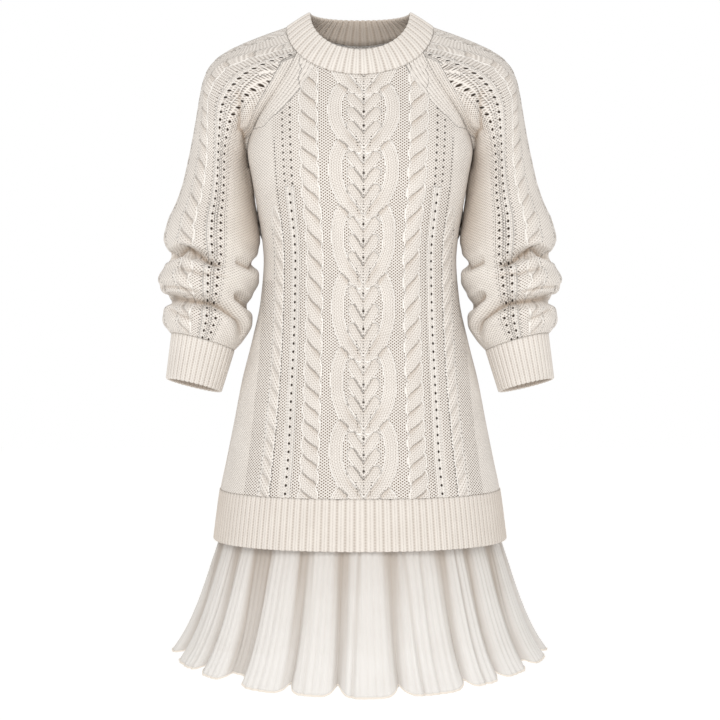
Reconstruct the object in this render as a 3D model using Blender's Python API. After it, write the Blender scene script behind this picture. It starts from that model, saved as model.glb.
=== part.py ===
"""Cable-knit sweater dress, filled out as if worn: a ribbed stand collar, raglan sleeves pushed up
above ribbed cuffs, a cabled body with a deep ribbed hem band, and a pleated chiffon flounce.

Metres, +Z up.  The front faces -Y and the wearer's left is +X.  The origin lies in the middle of the
neck, level with the collar seam on top of the shoulders.  Every piece is one closed wall of cloth:
a smooth inside, and an outside whose points are moved out by the cables, ribs, pleats and folds.
"""
import math

import bpy
import numpy as np

# ---------------------------------------------------------------- driving sizes (metres)
KNIT = 0.003              # wall of the knitted body and sleeves
RIB_WALL = 0.0035         # wall of the band and cuffs without their ribs
COLLAR_WALL = 0.004       # the collar is folded double
CHIFFON = 0.0017          # radial wall of the flounce, about 1 mm square to the pleats
GAP = 0.0003              # between two pieces at a seam

UNDERARM = -0.160         # height of the underarm point
BODY_HEM = -0.5974        # side height where the band begins
BAND_HEM = -0.6617        # side height of the band's lower edge
HEM_DIP = 0.0065          # the band hangs lower in the middle of the front
NECK_DROP = 0.071         # front of the neck seam below the shoulder
NAPE_DROP = 0.015         # back of the neck seam below the shoulder
NAPE_RISE = 0.030         # swell of the neck seam just behind the shoulder
SQUARENESS = 0.25         # how far the body's section is from an ellipse
FRONT_NECK_ANGLE = math.radians(32.3)    # raglan seam's end on the front neck
BACK_NECK_ANGLE = math.radians(33.0)     # raglan seam's end on the back neck

# side height, half width, front depth, back depth
BODY = (
    (0.000, 0.0950, 0.0750, 0.062),
    (-0.040, 0.1090, 0.0865, 0.083),
    (-0.080, 0.1225, 0.0970, 0.094),
    (-0.120, 0.1360, 0.1060, 0.100),
    (-0.160, 0.1460, 0.1140, 0.103),
    (-0.195, 0.1405, 0.1180, 0.101),
    (-0.230, 0.1345, 0.1130, 0.097),
    (-0.276, 0.1270, 0.1020, 0.091),
    (-0.302, 0.1250, 0.0980, 0.088),
    (-0.354, 0.1290, 0.1010, 0.094),
    (-0.406, 0.1400, 0.1070, 0.102),
    (-0.458, 0.1530, 0.1130, 0.112),
    (-0.510, 0.1630, 0.1190, 0.119),
    (-0.562, 0.1735, 0.1250, 0.125),
    (-0.598, 0.1810, 0.1290, 0.129),
    (-0.662, 0.1895, 0.1355, 0.1355),
)

# height, how far the knit columns are spread there compared with the chest
COLUMN_SPREAD = (
    (0.000, 0.985),
    (-0.100, 0.990),
    (-0.195, 0.955),
    (-0.305, 0.860),
    (-0.380, 0.870),
    (-0.480, 0.910),
    (-0.546, 0.940),
    (-0.600, 0.985),
)

# heights where the wide strand of the middle panel dives over the next one
CROSSINGS = (0.002, -0.082, -0.156, -0.237, -0.321, -0.413, -0.504, -0.588, -0.672)

STEP_HEIGHT = 0.084       # usual height of one step, between two crossings

# steps of the wide strand after its crossing, and its distance from the middle
WIDE_STRAND = (
    (0.00, 0.0205),
    (0.15, 0.0290),
    (0.30, 0.0335),
    (0.45, 0.0350),
    (0.60, 0.0345),
    (0.75, 0.0315),
    (0.90, 0.0265),
    (1.00, 0.0220),
    (1.10, 0.0150),
    (1.27, 0.0030),
)
WIDE_HALF = 0.0080        # half width of the wide strand
WIDE_HEIGHT = 0.0042      # how far it stands out
SMALL_FOOT = (0.51, 0.76, 1.01)   # steps at which the small strands reach the middle
SMALL_RISE = 0.27         # steps that a small strand takes from the oval to the middle
SMALL_SPAN = 0.0195       # its sideways run
SMALL_HALF = 0.0080       # its half width, measured level
SMALL_HEIGHT = 0.0032

ROPE_PITCH = 0.0237       # one crossing of a rope cable to the next
# distance from the middle, sway of a strand, half width of a strand, height, first and last level
ROPES = (
    (0.0700, 0.0052, 0.0070, 0.0042, -0.040, -0.620),
    (0.1150, 0.0045, 0.0060, 0.0028, -0.175, -0.620),
)

# the collar's open top: half width, front and back depth, height at the side, drop to the front
COLLAR_TOP_WIDTH = 0.065
COLLAR_TOP_FRONT = 0.062
COLLAR_TOP_BACK = 0.055
COLLAR_TOP_RISE = 0.020
COLLAR_TOP_DROP = 0.057
COLLAR_SWELL = 0.0015     # the folded collar rounds out between its seam and its top

COLLAR_RIBS = 64
CUFF_RIBS = 36
BAND_RIBS = 136
PLEATS = 98
RIB_HEIGHT = 0.0016

# ---------------------------------------------------------------- sleeve sizes
# outer x, outer z, inner x, inner z, middle y, half depth; one row for each level down the arm
SLEEVE = (
    (0.2245, -0.1720, 0.1436, -0.1820, 0.018, 0.055),
    (0.2305, -0.2000, 0.1398, -0.2050, 0.014, 0.056),
    (0.2390, -0.2270, 0.1362, -0.2280, 0.008, 0.057),
    (0.2495, -0.2520, 0.1328, -0.2520, 0.001, 0.058),
    (0.2540, -0.2760, 0.1295, -0.2770, -0.006, 0.059),
    (0.2435, -0.2980, 0.1360, -0.3040, -0.010, 0.055),
    (0.2605, -0.3280, 0.1305, -0.3290, -0.013, 0.061),
    (0.2470, -0.3550, 0.1440, -0.3580, -0.015, 0.055),
    (0.2545, -0.3790, 0.1390, -0.3830, -0.017, 0.056),
    (0.2500, -0.3900, 0.1500, -0.4050, -0.018, 0.048),
    (0.2425, -0.3980, 0.1630, -0.4200, -0.019, 0.0400),
)
CUFF_END = (0.2490, -0.4560, 0.1790, -0.4725, -0.027, 0.0345)
FOREARM_TILT = math.radians(7)           # the cuff opens a little to the front
CORNER_TURN = math.radians(92)           # how far round the arm the front raglan reaches
RAGLAN_CURVE = 0.6                       # how strongly the columns crowd to the neck corner

# turn round the arm (degrees), direction in which the cloth leaves the armhole, reach
ARMHOLE = (
    (0, 0.30, 0.00, -0.95, 1.00),
    (35, 0.72, -0.28, -0.62, 1.10),
    (92, 0.86, -0.34, -0.38, 1.30),
    (135, 0.91, -0.22, -0.37, 1.67),
    (180, 0.95, 0.00, -0.33, 1.95),
    (225, 0.91, 0.22, -0.35, 1.67),
    (268, 0.86, 0.36, -0.34, 1.30),
    (325, 0.72, 0.32, -0.60, 1.10),
    (360, 0.30, 0.00, -0.95, 1.00),
)

# soft folds of the pushed-up sleeve: from turn, z to turn, z, then depth and half width
FOLDS = (
    (235, -0.352, 150, -0.356, 0.009, 0.012),
    (150, -0.356, 88, -0.357, 0.011, 0.012),
    (88, -0.357, 58, -0.371, 0.011, 0.012),
    (58, -0.371, 20, -0.403, 0.010, 0.012),
    (215, -0.299, 132, -0.289, 0.009, 0.010),
    (132, -0.289, 98, -0.299, 0.006, 0.010),
    (132, -0.311, 68, -0.319, 0.005, 0.011),
    (160, -0.334, 115, -0.342, 0.004, 0.007),
    (-20, -0.357, 50, -0.352, 0.007, 0.009),
    (-25, -0.305, 28, -0.311, 0.005, 0.009),
    (330, -0.330, 262, -0.322, 0.006, 0.011),
    (300, -0.368, 240, -0.380, 0.006, 0.010),
    (345, -0.286, 285, -0.275, 0.005, 0.011),
)
SLEEVE_ROPE = (128.0, 12.0, 0.0026)      # turn and half width in degrees, and height
ARM_RADIUS = 0.055        # turns degrees round the arm into a length, for the folds

# ---------------------------------------------------------------- flounce sizes
# drop below the top edge as a share, half width, front and back depth
FLOUNCE = (
    (0.00, 0.1805, 0.1270),
    (0.07, 0.1830, 0.1290),
    (0.24, 0.1914, 0.1365),
    (0.41, 0.1998, 0.1445),
    (0.58, 0.2080, 0.1525),
    (0.75, 0.2170, 0.1615),
    (0.88, 0.2255, 0.1685),
    (1.00, 0.2345, 0.1755),
)
FLOUNCE_TOP = -0.6545
FLOUNCE_TOP_DIP = 0.0065
FLOUNCE_SIDE_HEM = -0.804
FLOUNCE_MID_HEM = -0.839
PLEAT_TOP = 0.0011        # half depth of a pleat at the top and at the hem
PLEAT_HEM = 0.0026
HOLLOW = 0.005            # how far the hem falls in between two bells
# middle of each bell of the hem in degrees (front is 270), half width, swell
BELLS = (
    (3, 10, 0.0115), (23, 9, 0.0090), (42, 8, 0.0110), (62, 10, 0.0100), (83, 9, 0.0120),
    (104, 10, 0.0095), (124, 8, 0.0110), (142, 9, 0.0090), (160, 8, 0.0105), (179, 10, 0.0120),
    (197, 8, 0.0095), (213, 7, 0.0100), (229, 8, 0.0120), (247, 8, 0.0100), (266, 10, 0.0120),
    (290, 12, 0.0125), (311, 8, 0.0105), (327, 7, 0.0090), (344, 8, 0.0100),
)

# ---------------------------------------------------------------- colours (linear), roughness
FINISHES = {
    "knit": ((0.80, 0.75, 0.68), 0.92),
    "rib": ((0.81, 0.76, 0.69), 0.90),
    "chiffon": ((0.86, 0.84, 0.80), 0.60),
}


# ---------------------------------------------------------------- small helpers
def smooth(value):
    """0 below 0, 1 above 1, and an even ramp between them."""
    value = np.clip(value, 0.0, 1.0)
    return value * value * (3.0 - 2.0 * value)


def curve(rows, column, key=0):
    """A smooth curve with no overshoot through one column of a table, against its key column."""
    rows = sorted(rows, key=lambda row: row[key])
    xs = np.array([row[key] for row in rows], float)
    ys = np.array([row[column] for row in rows], float)
    step = np.diff(xs)
    rise = np.diff(ys) / step
    slope = np.zeros(len(xs))
    slope[0] = rise[0]
    slope[-1] = rise[-1]
    for i in range(1, len(xs) - 1):
        if rise[i - 1] * rise[i] > 0:
            slope[i] = 2.0 * rise[i - 1] * rise[i] / (rise[i - 1] + rise[i])

    def value(x):
        x = np.clip(x, xs[0], xs[-1])
        i = np.clip(np.searchsorted(xs, x) - 1, 0, len(step) - 1)
        h = step[i]
        t = (x - xs[i]) / h
        return (ys[i] * (1 + 2 * t) * (1 - t) ** 2 + slope[i] * h * t * (1 - t) ** 2
                + ys[i + 1] * t * t * (3 - 2 * t) - slope[i + 1] * h * t * t * (1 - t))

    return value


def unit(vectors):
    """The same vectors with length 1."""
    return vectors / np.linalg.norm(vectors, axis=-1, keepdims=True)


def outward(surface, u, v, step=1e-4):
    """Unit normals of a surface function, on the side where u turns left-handed into v."""
    along = surface(u + step, v) - surface(u - step, v)
    across = surface(u, v + step) - surface(u, v - step)
    return unit(np.cross(along, across))


# ---------------------------------------------------------------- one wall of cloth
class Wall:
    """Points and triangles of one closed wall, built from lines of points that are zipped together."""

    def __init__(self):
        self.points = []
        self.faces = []

    def add_line(self, keys, points):
        """Adds a line of points and returns it as (keys, point numbers)."""
        start = len(self.points)
        self.points.extend(tuple(float(c) for c in p) for p in points)
        return list(keys), list(range(start, start + len(keys)))

    def zip_lines(self, left, right, flip=False):
        """Fills the strip between two lines that both run the same way."""
        keys_a, a = left
        keys_b, b = right
        i = 0
        j = 0
        while i < len(a) - 1 or j < len(b) - 1:
            if j == len(b) - 1 or (i < len(a) - 1 and keys_a[i + 1] <= keys_b[j + 1] + 1e-9):
                face = (a[i], b[j], a[i + 1])
                i += 1
            else:
                face = (a[i], b[j], b[j + 1])
                j += 1
            self.faces.append(face[::-1] if flip else face)

    def surface(self, lines, flip=False, mirror_from=None):
        """Zips neighbouring lines; past mirror_from the diagonals lean the other way."""
        for i, (left, right) in enumerate(zip(lines, lines[1:])):
            if mirror_from is not None and i >= mirror_from:
                self.zip_lines(right, left, not flip)
            else:
                self.zip_lines(left, right, flip)

    def close(self, outer, inner, round_tube):
        """Adds the four rims, or the two rims of a tube."""
        def edge(lines, keys, end):
            return list(keys), [line[1][end] for line in lines]

        outer_keys, outer_lines = outer
        inner_keys, inner_lines = inner
        self.zip_lines(edge(outer_lines, outer_keys, 0), edge(inner_lines, inner_keys, 0))
        self.zip_lines(edge(inner_lines, inner_keys, -1), edge(outer_lines, outer_keys, -1))
        if not round_tube:
            self.zip_lines(inner_lines[0], outer_lines[0])
            self.zip_lines(outer_lines[-1], inner_lines[-1])


def make_material(name):
    """A plain cloth finish."""
    colour, roughness = FINISHES[name]
    material = bpy.data.materials.new(name)
    material.use_nodes = True
    shader = material.node_tree.nodes["Principled BSDF"]
    shader.inputs["Base Color"].default_value = (*colour, 1.0)
    shader.inputs["Roughness"].default_value = roughness
    shader.inputs["Metallic"].default_value = 0.0
    material.diffuse_color = (*colour, 1.0)
    return material


def make_object(name, points, faces, material):
    """One named object from points and faces, shaded smooth."""
    mesh = bpy.data.meshes.new(name)
    mesh.from_pydata([tuple(p) for p in points], [], faces)
    mesh.validate()
    mesh.materials.append(material)
    mesh.shade_smooth()
    piece = bpy.data.objects.new(name, mesh)
    bpy.context.scene.collection.objects.link(piece)
    return piece


def mirrored(points, faces):
    """The same wall on the other side of the body."""
    return [(-x, y, z) for x, y, z in points], [face[::-1] for face in faces]


def tube(outside, inside, outer_us, inner_us, outer_vs, inner_vs):
    """A wall closed round: outside(u, v) and inside(u, v) give points, v runs upwards."""
    wall = Wall()

    def lines(shape, us, vs):
        made = [wall.add_line(vs, shape(np.full(len(vs), u), np.array(vs))) for u in us[:-1]]
        return made + [made[0]]

    outer = lines(outside, outer_us, outer_vs)
    inner = lines(inside, inner_us, inner_vs)
    wall.surface(outer)
    wall.surface(inner, flip=True)
    wall.close((outer_us, outer), (inner_us, inner), True)
    return wall


# ---------------------------------------------------------------- the body's surface
body_width = curve(BODY, 1)
body_front = curve(BODY, 2)
body_back = curve(BODY, 3)
column_spread = curve(COLUMN_SPREAD, 1)


def rise_above_underarm(height):
    """0 at the underarm and below, 1 at the neck seam."""
    return np.clip((height - UNDERARM) / -UNDERARM, 0.0, 1.0)


def section_power(height):
    """Exponent of the body's section: an ellipse at the neck, squarer below."""
    return 2.0 + SQUARENESS * np.clip(height / UNDERARM, 0.0, 1.0)


def neck_drop(sine, side):
    """How far the neck seam lies below the shoulder."""
    front = NECK_DROP * sine
    back = NAPE_DROP * sine ** 2 - NAPE_RISE * sine * (1.0 - sine)
    return front if side < 0 else back


def body_point(angle, height, side):
    """A point of the body: angle 0 is the wearer's left side, side -1 the front and 1 the back."""
    power = section_power(height)
    cosine = np.cos(angle)
    sine = np.maximum(np.sin(angle), 0.0)
    depth = body_front(height) if side < 0 else body_back(height)
    x = body_width(height) * np.sign(cosine) * np.abs(cosine) ** (2.0 / power)
    y = side * (depth * sine ** (2.0 / power) + GAP / 2)
    fall = np.clip((UNDERARM - height) / (UNDERARM - BODY_HEM), 0.0, 1.0)
    z = height - rise_above_underarm(height) * neck_drop(sine, side) - fall * HEM_DIP * sine
    return np.stack([x, y, z], axis=-1)


def raglan_angle(height, side):
    """Angle of the raglan seam on the body, 0 at the underarm and below."""
    rise = rise_above_underarm(height)
    full = FRONT_NECK_ANGLE if side < 0 else BACK_NECK_ANGLE
    return full * (1.0 - (1.0 - rise) ** 2)


def column_angle(chart, height):
    """Angle at which a knit column lies: chart is its distance from the middle at the chest."""
    share = np.clip(chart * column_spread(height) / body_width(height), 0.0, 1.0)
    return np.arccos(share ** (section_power(height) / 2.0))


# ---------------------------------------------------------------- the cable chart
wide_offset = curve(WIDE_STRAND, 1)


def cable_step(z):
    """Counts the crossings of the middle panel down from the neck."""
    levels = np.array(CROSSINGS[::-1])
    return np.interp(z, levels, np.arange(len(levels))[::-1])


def strand_bump(distance, half_width, height):
    """Rounded section of a strand."""
    share = np.clip(np.abs(distance) / half_width, 0.0, 1.0)
    return height * (1.0 - share ** 2.4)


def wide_strand(chart, step):
    """Height of the oval strands that cross from the sides to the middle."""
    height = np.zeros_like(chart)
    for back in (0.0, 1.0):
        local = step - np.floor(step) + back
        centre = wide_offset(local)
        slope = np.abs(wide_offset(local + 0.02) - wide_offset(local - 0.02)) / 0.04
        slant = np.sqrt(1.0 + (slope / STEP_HEIGHT) ** 2)
        half = WIDE_HALF * slant * (1.0 - 0.35 * smooth((local - 1.0) / 0.27))
        top = WIDE_HEIGHT * (0.55 + 0.45 * smooth(local / 0.2))
        here = np.where(local <= 1.27, strand_bump(chart - centre, half, top), 0.0)
        height = np.maximum(height, here)
    return height


def small_strands(chart, step):
    """Height of the strands that run down to the middle inside the oval."""
    height = np.zeros_like(chart)
    local = step - np.floor(step)
    for foot in SMALL_FOOT:
        for turn in (local, local + 1.0):
            rise = foot - turn
            centre = SMALL_SPAN * rise / SMALL_RISE
            inside = (rise > -0.05) & (rise < SMALL_RISE + 0.1) & (chart < SMALL_SPAN + 0.002)
            bump = strand_bump(chart - centre, SMALL_HALF, SMALL_HEIGHT)
            height = np.maximum(height, np.where(inside, bump, 0.0))
    return height


def rope_cable(chart, z, rope):
    """Height of a two-strand rope; the upper strand runs down towards the middle."""
    centre, sway, half, top, first, last = rope
    height = np.zeros_like(chart)
    for strand in (0, 1):
        turn = math.pi * (-z / ROPE_PITCH + strand)
        place = centre + sway * np.cos(turn)
        lift = top * (0.78 + 0.22 * np.sin(turn))
        height = np.maximum(height, strand_bump(chart - place, half, lift))
    return height * smooth((first - z) / 0.012) * smooth((z - last) / 0.004)


def body_relief(points):
    """How far the knit stands out of the smooth body at these points."""
    z = points[..., 2]
    chart = np.abs(points[..., 0]) / column_spread(z)
    step = cable_step(z)
    height = np.maximum(wide_strand(chart, step), small_strands(chart, step))
    for rope in ROPES:
        height = np.maximum(height, rope_cable(chart, z, rope))
    return height


# ---------------------------------------------------------------- front and back panels
# columns of the chart from the middle outwards, whether each has every row, and whether the
# plain inside has it too
FRONT_COLUMNS = (
    (0.000, True, True), (0.006, True, False), (0.012, True, False), (0.018, True, True),
    (0.024, True, False), (0.030, True, False), (0.036, True, True), (0.042, True, False),
    (0.048, False, False), (0.0585, False, True), (0.064, True, False), (0.070, True, False),
    (0.076, True, False), (0.0815, False, True), (0.093, False, False), (0.105, False, True),
    (0.111, True, False), (0.116, True, False), (0.121, True, False), (0.127, False, True),
)
BACK_COLUMNS = (
    (0.000, True, True), (0.0075, True, False), (0.015, True, True), (0.023, True, False),
    (0.031, True, True), (0.040, True, False), (0.048, False, False), (0.0585, False, True),
    (0.064, True, False), (0.070, True, False), (0.076, True, False), (0.0815, False, True),
    (0.107, False, True), (0.112, True, False), (0.119, True, False), (0.127, False, True),
)
SIDE_COLUMNS = 5          # columns between the last chart column and the side seam
LOWER_ROWS = 48
UPPER_ROWS = 10
COARSE = 4                # plain columns keep every fourth row
NARROWEST = 0.022         # least angle between two columns where the raglan squeezes them
EDGE_FADE = 0.10          # angle over which the cables sink into the raglan seam


def panel_heights():
    """Side heights of the rows, from the band up to the neck."""
    lower = np.linspace(BODY_HEM, UNDERARM, LOWER_ROWS + 1)
    upper = np.linspace(UNDERARM, 0.0, UPPER_ROWS + 1)
    return np.concatenate([lower, upper[1:]])


def half_panel_angles(columns, heights, side):
    """Angles of all the columns of one half at all rows, from the middle to the edge."""
    edge = raglan_angle(heights, side)
    angles = [column_angle(column[0], heights) for column in columns]
    last = angles[-1]
    for k in range(1, SIDE_COLUMNS + 1):
        angles.append(edge + (last - edge) * (1.0 - k / SIDE_COLUMNS))
    count = len(angles)
    return [np.maximum(angle, edge + NARROWEST * (count - 1 - i)) if i < count - 1 else edge
            for i, angle in enumerate(angles)]


def make_panel(name, side, columns, material):
    """Front or back: columns of points from one edge to the other."""
    heights = panel_heights()
    rows = np.arange(len(heights))
    half = half_panel_angles(columns, heights, side)
    kinds = [column[1:] for column in columns] + [(False, True)] * SIDE_COLUMNS
    right = [(angle, *kind) for angle, kind in zip(half, kinds)]
    left = [(math.pi - angle, *kind) for angle, *kind in right[1:]]
    across = left[::-1] + right
    if side > 0:
        across = across[::-1]
    middle = len(left)
    wall = Wall()

    def surface(angle, height):
        return body_point(angle, height, side)

    def normal(angle, height):
        turned = outward(surface, np.clip(angle, 0.002, math.pi - 0.002), height)
        return turned * np.sign(np.sum(turned * (0.0, side, 0.0), axis=-1, keepdims=True) + 1e-12)

    def keep(every, at_edge):
        upper = rows >= LOWER_ROWS
        return rows[(rows % COARSE == 0) | (upper & (rows % 2 == 0)) | (upper & at_edge) | every]

    def edge_distance(angle, kept):
        nearest = np.minimum(angle[kept], math.pi - angle[kept])
        return nearest - raglan_angle(heights[kept], side)

    outer = []
    for i, (angle, every, _) in enumerate(across):
        kept = keep(every, i in (0, len(across) - 1))
        points = surface(angle[kept], heights[kept])
        fade = smooth(edge_distance(angle, kept) / EDGE_FADE)
        fade = fade * smooth((len(rows) - 1 - kept) / 1.5) * smooth((kept + 0.7) / 1.5)
        lift = body_relief(points) * fade
        outer.append(wall.add_line(kept, points + normal(angle[kept], heights[kept]) * lift[:, None]))

    inner = []
    picked = [i for i, column in enumerate(across) if column[2]]
    for i in picked:
        angle = across[i][0]
        kept = rows[(rows % 8 == 0) | ((rows > LOWER_ROWS) & (rows % 2 == 0))]
        inside = surface(angle[kept], heights[kept]) - KNIT * normal(angle[kept], heights[kept])
        inner.append(wall.add_line(kept, inside))

    wall.surface(outer, mirror_from=middle)
    wall.surface(inner, flip=True)
    wall.close((range(len(across)), outer), (picked, inner), False)
    return make_object(name, wall.points, wall.faces, material)


# ---------------------------------------------------------------- sleeves
SLEEVE_KEYS = tuple((i, *row) for i, row in enumerate(SLEEVE))
sleeve_outer_x = curve(SLEEVE_KEYS, 1)
sleeve_outer_z = curve(SLEEVE_KEYS, 2)
sleeve_inner_x = curve(SLEEVE_KEYS, 3)
sleeve_inner_z = curve(SLEEVE_KEYS, 4)
sleeve_mid_y = curve(SLEEVE_KEYS, 5)
sleeve_depth = curve(SLEEVE_KEYS, 6)
LAST_LEVEL = len(SLEEVE) - 1
armhole_x = curve(ARMHOLE, 1)
armhole_y = curve(ARMHOLE, 2)
armhole_z = curve(ARMHOLE, 3)
armhole_reach = curve(ARMHOLE, 4)


def turned_ring(outer_x, outer_z, inner_x, inner_z, mid_y, depth, tilt, turn):
    """Points of a ring round the arm: turn 0 faces the body, a quarter turn faces the front."""
    share = (1.0 - np.cos(turn)) / 2.0
    x = inner_x + (outer_x - inner_x) * share
    y = mid_y - depth * np.sin(turn)
    z = inner_z + (outer_z - inner_z) * share + depth * np.sin(turn) * np.tan(tilt)
    return np.stack([x, y, z], axis=-1)


def arm_ring(turn, level):
    """Ring of the sleeve at a level of its table."""
    tilt = FOREARM_TILT * smooth(level / LAST_LEVEL)
    return turned_ring(sleeve_outer_x(level), sleeve_outer_z(level), sleeve_inner_x(level),
                       sleeve_inner_z(level), sleeve_mid_y(level), sleeve_depth(level), tilt, turn)


def raglan_turn(rise):
    """Turn round the arm that starts at this share of the raglan seam."""
    return CORNER_TURN * ((1.0 - RAGLAN_CURVE) * rise + RAGLAN_CURVE * (1.0 - (1.0 - rise) ** 2))


def raglan_rise(turn):
    """Share of the raglan seam at which a turn starts: the inverse of raglan_turn."""
    share = np.clip(turn / CORNER_TURN, 0.0, 1.0)
    return (1.0 + RAGLAN_CURVE - np.sqrt((1.0 + RAGLAN_CURVE) ** 2 - 4.0 * RAGLAN_CURVE * share)) \
        / (2.0 * RAGLAN_CURVE)


def armhole_point(turn):
    """Point of the armhole loop: up the front raglan, over the neck edge, down the back raglan."""
    turn = np.mod(turn, 2.0 * math.pi)
    height_front = UNDERARM * (1.0 - raglan_rise(turn))
    height_back = UNDERARM * (1.0 - raglan_rise(2.0 * math.pi - turn))
    front = body_point(raglan_angle(height_front, -1), height_front, -1)
    back = body_point(raglan_angle(height_back, 1), height_back, 1)
    share = np.clip((turn - CORNER_TURN) / (2.0 * math.pi - 2.0 * CORNER_TURN), 0.0, 1.0)
    theta = FRONT_NECK_ANGLE - share * (FRONT_NECK_ANGLE + BACK_NECK_ANGLE)
    side = np.where(theta >= 0.0, -1.0, 1.0)[..., None]
    zero = np.zeros_like(theta)
    neck = np.where(side < 0, body_point(np.abs(theta), zero, -1), body_point(np.abs(theta), zero, 1))
    on_front = (turn < CORNER_TURN)[..., None]
    on_back = (turn > 2.0 * math.pi - CORNER_TURN)[..., None]
    return np.where(on_front, front, np.where(on_back, back, neck))


def leaving_direction(turn):
    """Direction in which the cloth leaves the armhole."""
    degrees = np.degrees(np.mod(turn, 2.0 * math.pi))
    return unit(np.stack([armhole_x(degrees), armhole_y(degrees), armhole_z(degrees)], axis=-1))


def cap_point(turn, share):
    """Sleeve between the armhole (share 0) and the first ring of the arm (share 1)."""
    direction = leaving_direction(turn)
    start = armhole_point(turn) + GAP * 1.5 * direction
    zero = np.zeros_like(turn)
    end = arm_ring(turn, zero)
    reach = np.linalg.norm(end - start, axis=-1) * armhole_reach(np.degrees(np.mod(turn, 2 * math.pi)))
    downward = unit(arm_ring(turn, zero + 0.2) - end)
    t = share[..., None]
    return (start * (1 + 2 * t) * (1 - t) ** 2 + direction * reach[..., None] * t * (1 - t) ** 2
            + end * t * t * (3 - 2 * t) - downward * reach[..., None] * t * t * (1 - t))


def sleeve_point(turn, down):
    """Smooth sleeve: down -1 is the armhole, 0 the first ring, LAST_LEVEL the cuff seam."""
    cap = cap_point(turn, np.clip(down + 1.0, 0.0, 1.0))
    arm = arm_ring(turn, np.maximum(down, 0.0))
    return np.where((down < 0.0)[..., None], cap, arm)


def fold_depth(turn, z):
    """How far the folds sink into the sleeve."""
    degrees = np.degrees(turn)
    depth = np.zeros_like(z)
    per_degree = ARM_RADIUS * math.pi / 180.0
    for turn_a, z_a, turn_b, z_b, deep, half in FOLDS:
        for lap in (-360.0, 0.0, 360.0):
            across = (degrees + lap - turn_a) * per_degree
            run = (turn_b - turn_a) * per_degree
            fall = z_b - z_a
            along = (across * run + (z - z_a) * fall) / (run * run + fall * fall)
            near = np.clip(along, 0.0, 1.0)
            distance = np.hypot(across - near * run, (z - z_a) - near * fall)
            share = np.clip(1.0 - distance / half, 0.0, 1.0)
            depth = np.maximum(depth, deep * share ** 1.6)
    return depth


def sleeve_rope(turn, z):
    """Height of the rope cable that runs down the front of the arm, and its twin behind."""
    degrees = np.degrees(np.mod(turn, 2.0 * math.pi))
    middle, half, top = SLEEVE_ROPE
    away = np.abs(np.abs(degrees - 180.0) - (180.0 - middle)) / half
    swell = np.clip(1.0 - away ** 2.4, 0.0, 1.0)
    lay = 0.75 + 0.25 * np.sin(2.0 * math.pi * (-z / ROPE_PITCH) + 2.2 * away)
    return top * swell * lay


def sleeve_rows():
    """Levels of the rows: the cap, then down the arm, closer together where it is rolled."""
    cap = np.linspace(-1.0, 0.0, 7)[:-1]
    arm = np.concatenate([np.linspace(0.0, 4.0, 5)[:-1], np.linspace(4.0, LAST_LEVEL, 17)])
    return np.concatenate([cap, arm])


def sleeve_turns():
    """Turns of the columns: those of the panels' raglan rows, and the neck edge between."""
    raglan = raglan_turn(np.linspace(0.0, 1.0, UPPER_ROWS + 1))
    neck = np.linspace(CORNER_TURN, 2 * math.pi - CORNER_TURN, 7)[1:-1]
    return np.concatenate([raglan, neck, 2 * math.pi - raglan[::-1]])


def make_sleeve(name, side, material):
    """A raglan sleeve; side 1 is the wearer's left."""
    turns = sleeve_turns()
    rows = sleeve_rows()[::-1]

    def upward(turn, minus_down):
        return sleeve_point(turn, -minus_down)

    def shaped(turn, minus_down, with_rope, back):
        """The sleeve with its folds, and with its rope; set back by the wall for the inside."""
        down = -minus_down
        points = sleeve_point(turn, down)
        normal = outward(upward, turn, np.clip(minus_down, -LAST_LEVEL + 0.001, 0.999), 5e-4)
        fade = smooth((down + 1.0) / 0.25) * smooth((LAST_LEVEL - down) / 0.8)
        rope = sleeve_rope(turn, points[..., 2]) if with_rope else 0.0
        lift = (rope - fold_depth(turn, points[..., 2])) * fade - back
        return points + normal * lift[:, None]

    def outside(turn, minus_down):
        return shaped(turn, minus_down, True, 0.0)

    def inside(turn, minus_down):
        return shaped(turn, minus_down, False, KNIT)

    cap = rows > 0.0
    inner_rows = np.unique(np.concatenate([rows[~cap], rows[cap][::2], rows[-1:]]))[::-1]
    inner_turns = np.concatenate([turns[:-1:2], turns[-1:]])
    wall = tube(outside, inside, turns, inner_turns, list(-rows), list(-inner_rows))
    points, faces = wall.points, wall.faces
    if side < 0:
        points, faces = mirrored(points, faces)
    return make_object(name, points, faces, material)


# ---------------------------------------------------------------- ribbed tubes
def rib_lift(turn, count):
    """Rounded knit ribs round a tube."""
    return RIB_HEIGHT * (0.5 + 0.5 * np.cos(turn * count))


def ribbed_tube(surface, count, wall_thickness, levels, plain, level_foot=False):
    """A tube with ribs over its whole length and a plain inside; level 0 is its lower edge.

    With level_foot the lower rim lies level, so that it stands on the neck seam.
    """
    outer_us = np.linspace(0.0, 2 * math.pi, 2 * count + 1)
    inner_us = np.linspace(0.0, 2 * math.pi, plain + 1)

    def outside(turn, level):
        return surface(turn, level) + outward(surface, turn, level) * rib_lift(turn, count)[:, None]

    def inside(turn, level):
        direction = outward(surface, turn, level)
        if level_foot:
            direction[..., 2] *= smooth(level / 0.5)
        return surface(turn, level) - unit(direction) * wall_thickness

    return tube(outside, inside, outer_us, inner_us, levels, levels)


def cuff_surface(turn, level):
    """The cuff tapers from the sleeve's last ring (level 1) to the wrist (level 0)."""
    top = SLEEVE[-1]
    mixed = [low + (high - low) * level for low, high in zip(CUFF_END, top)]
    point = turned_ring(*mixed, FOREARM_TILT, turn)
    point[..., 2] -= 1.5 * GAP
    return point


def make_cuff(name, side, material):
    """A ribbed cuff; side 1 is the wearer's left."""
    wall = ribbed_tube(cuff_surface, CUFF_RIBS, RIB_WALL, [0.0, 1.0], 20)
    points, faces = wall.points, wall.faces
    if side < 0:
        points, faces = mirrored(points, faces)
    return make_object(name, points, faces, material)


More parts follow.
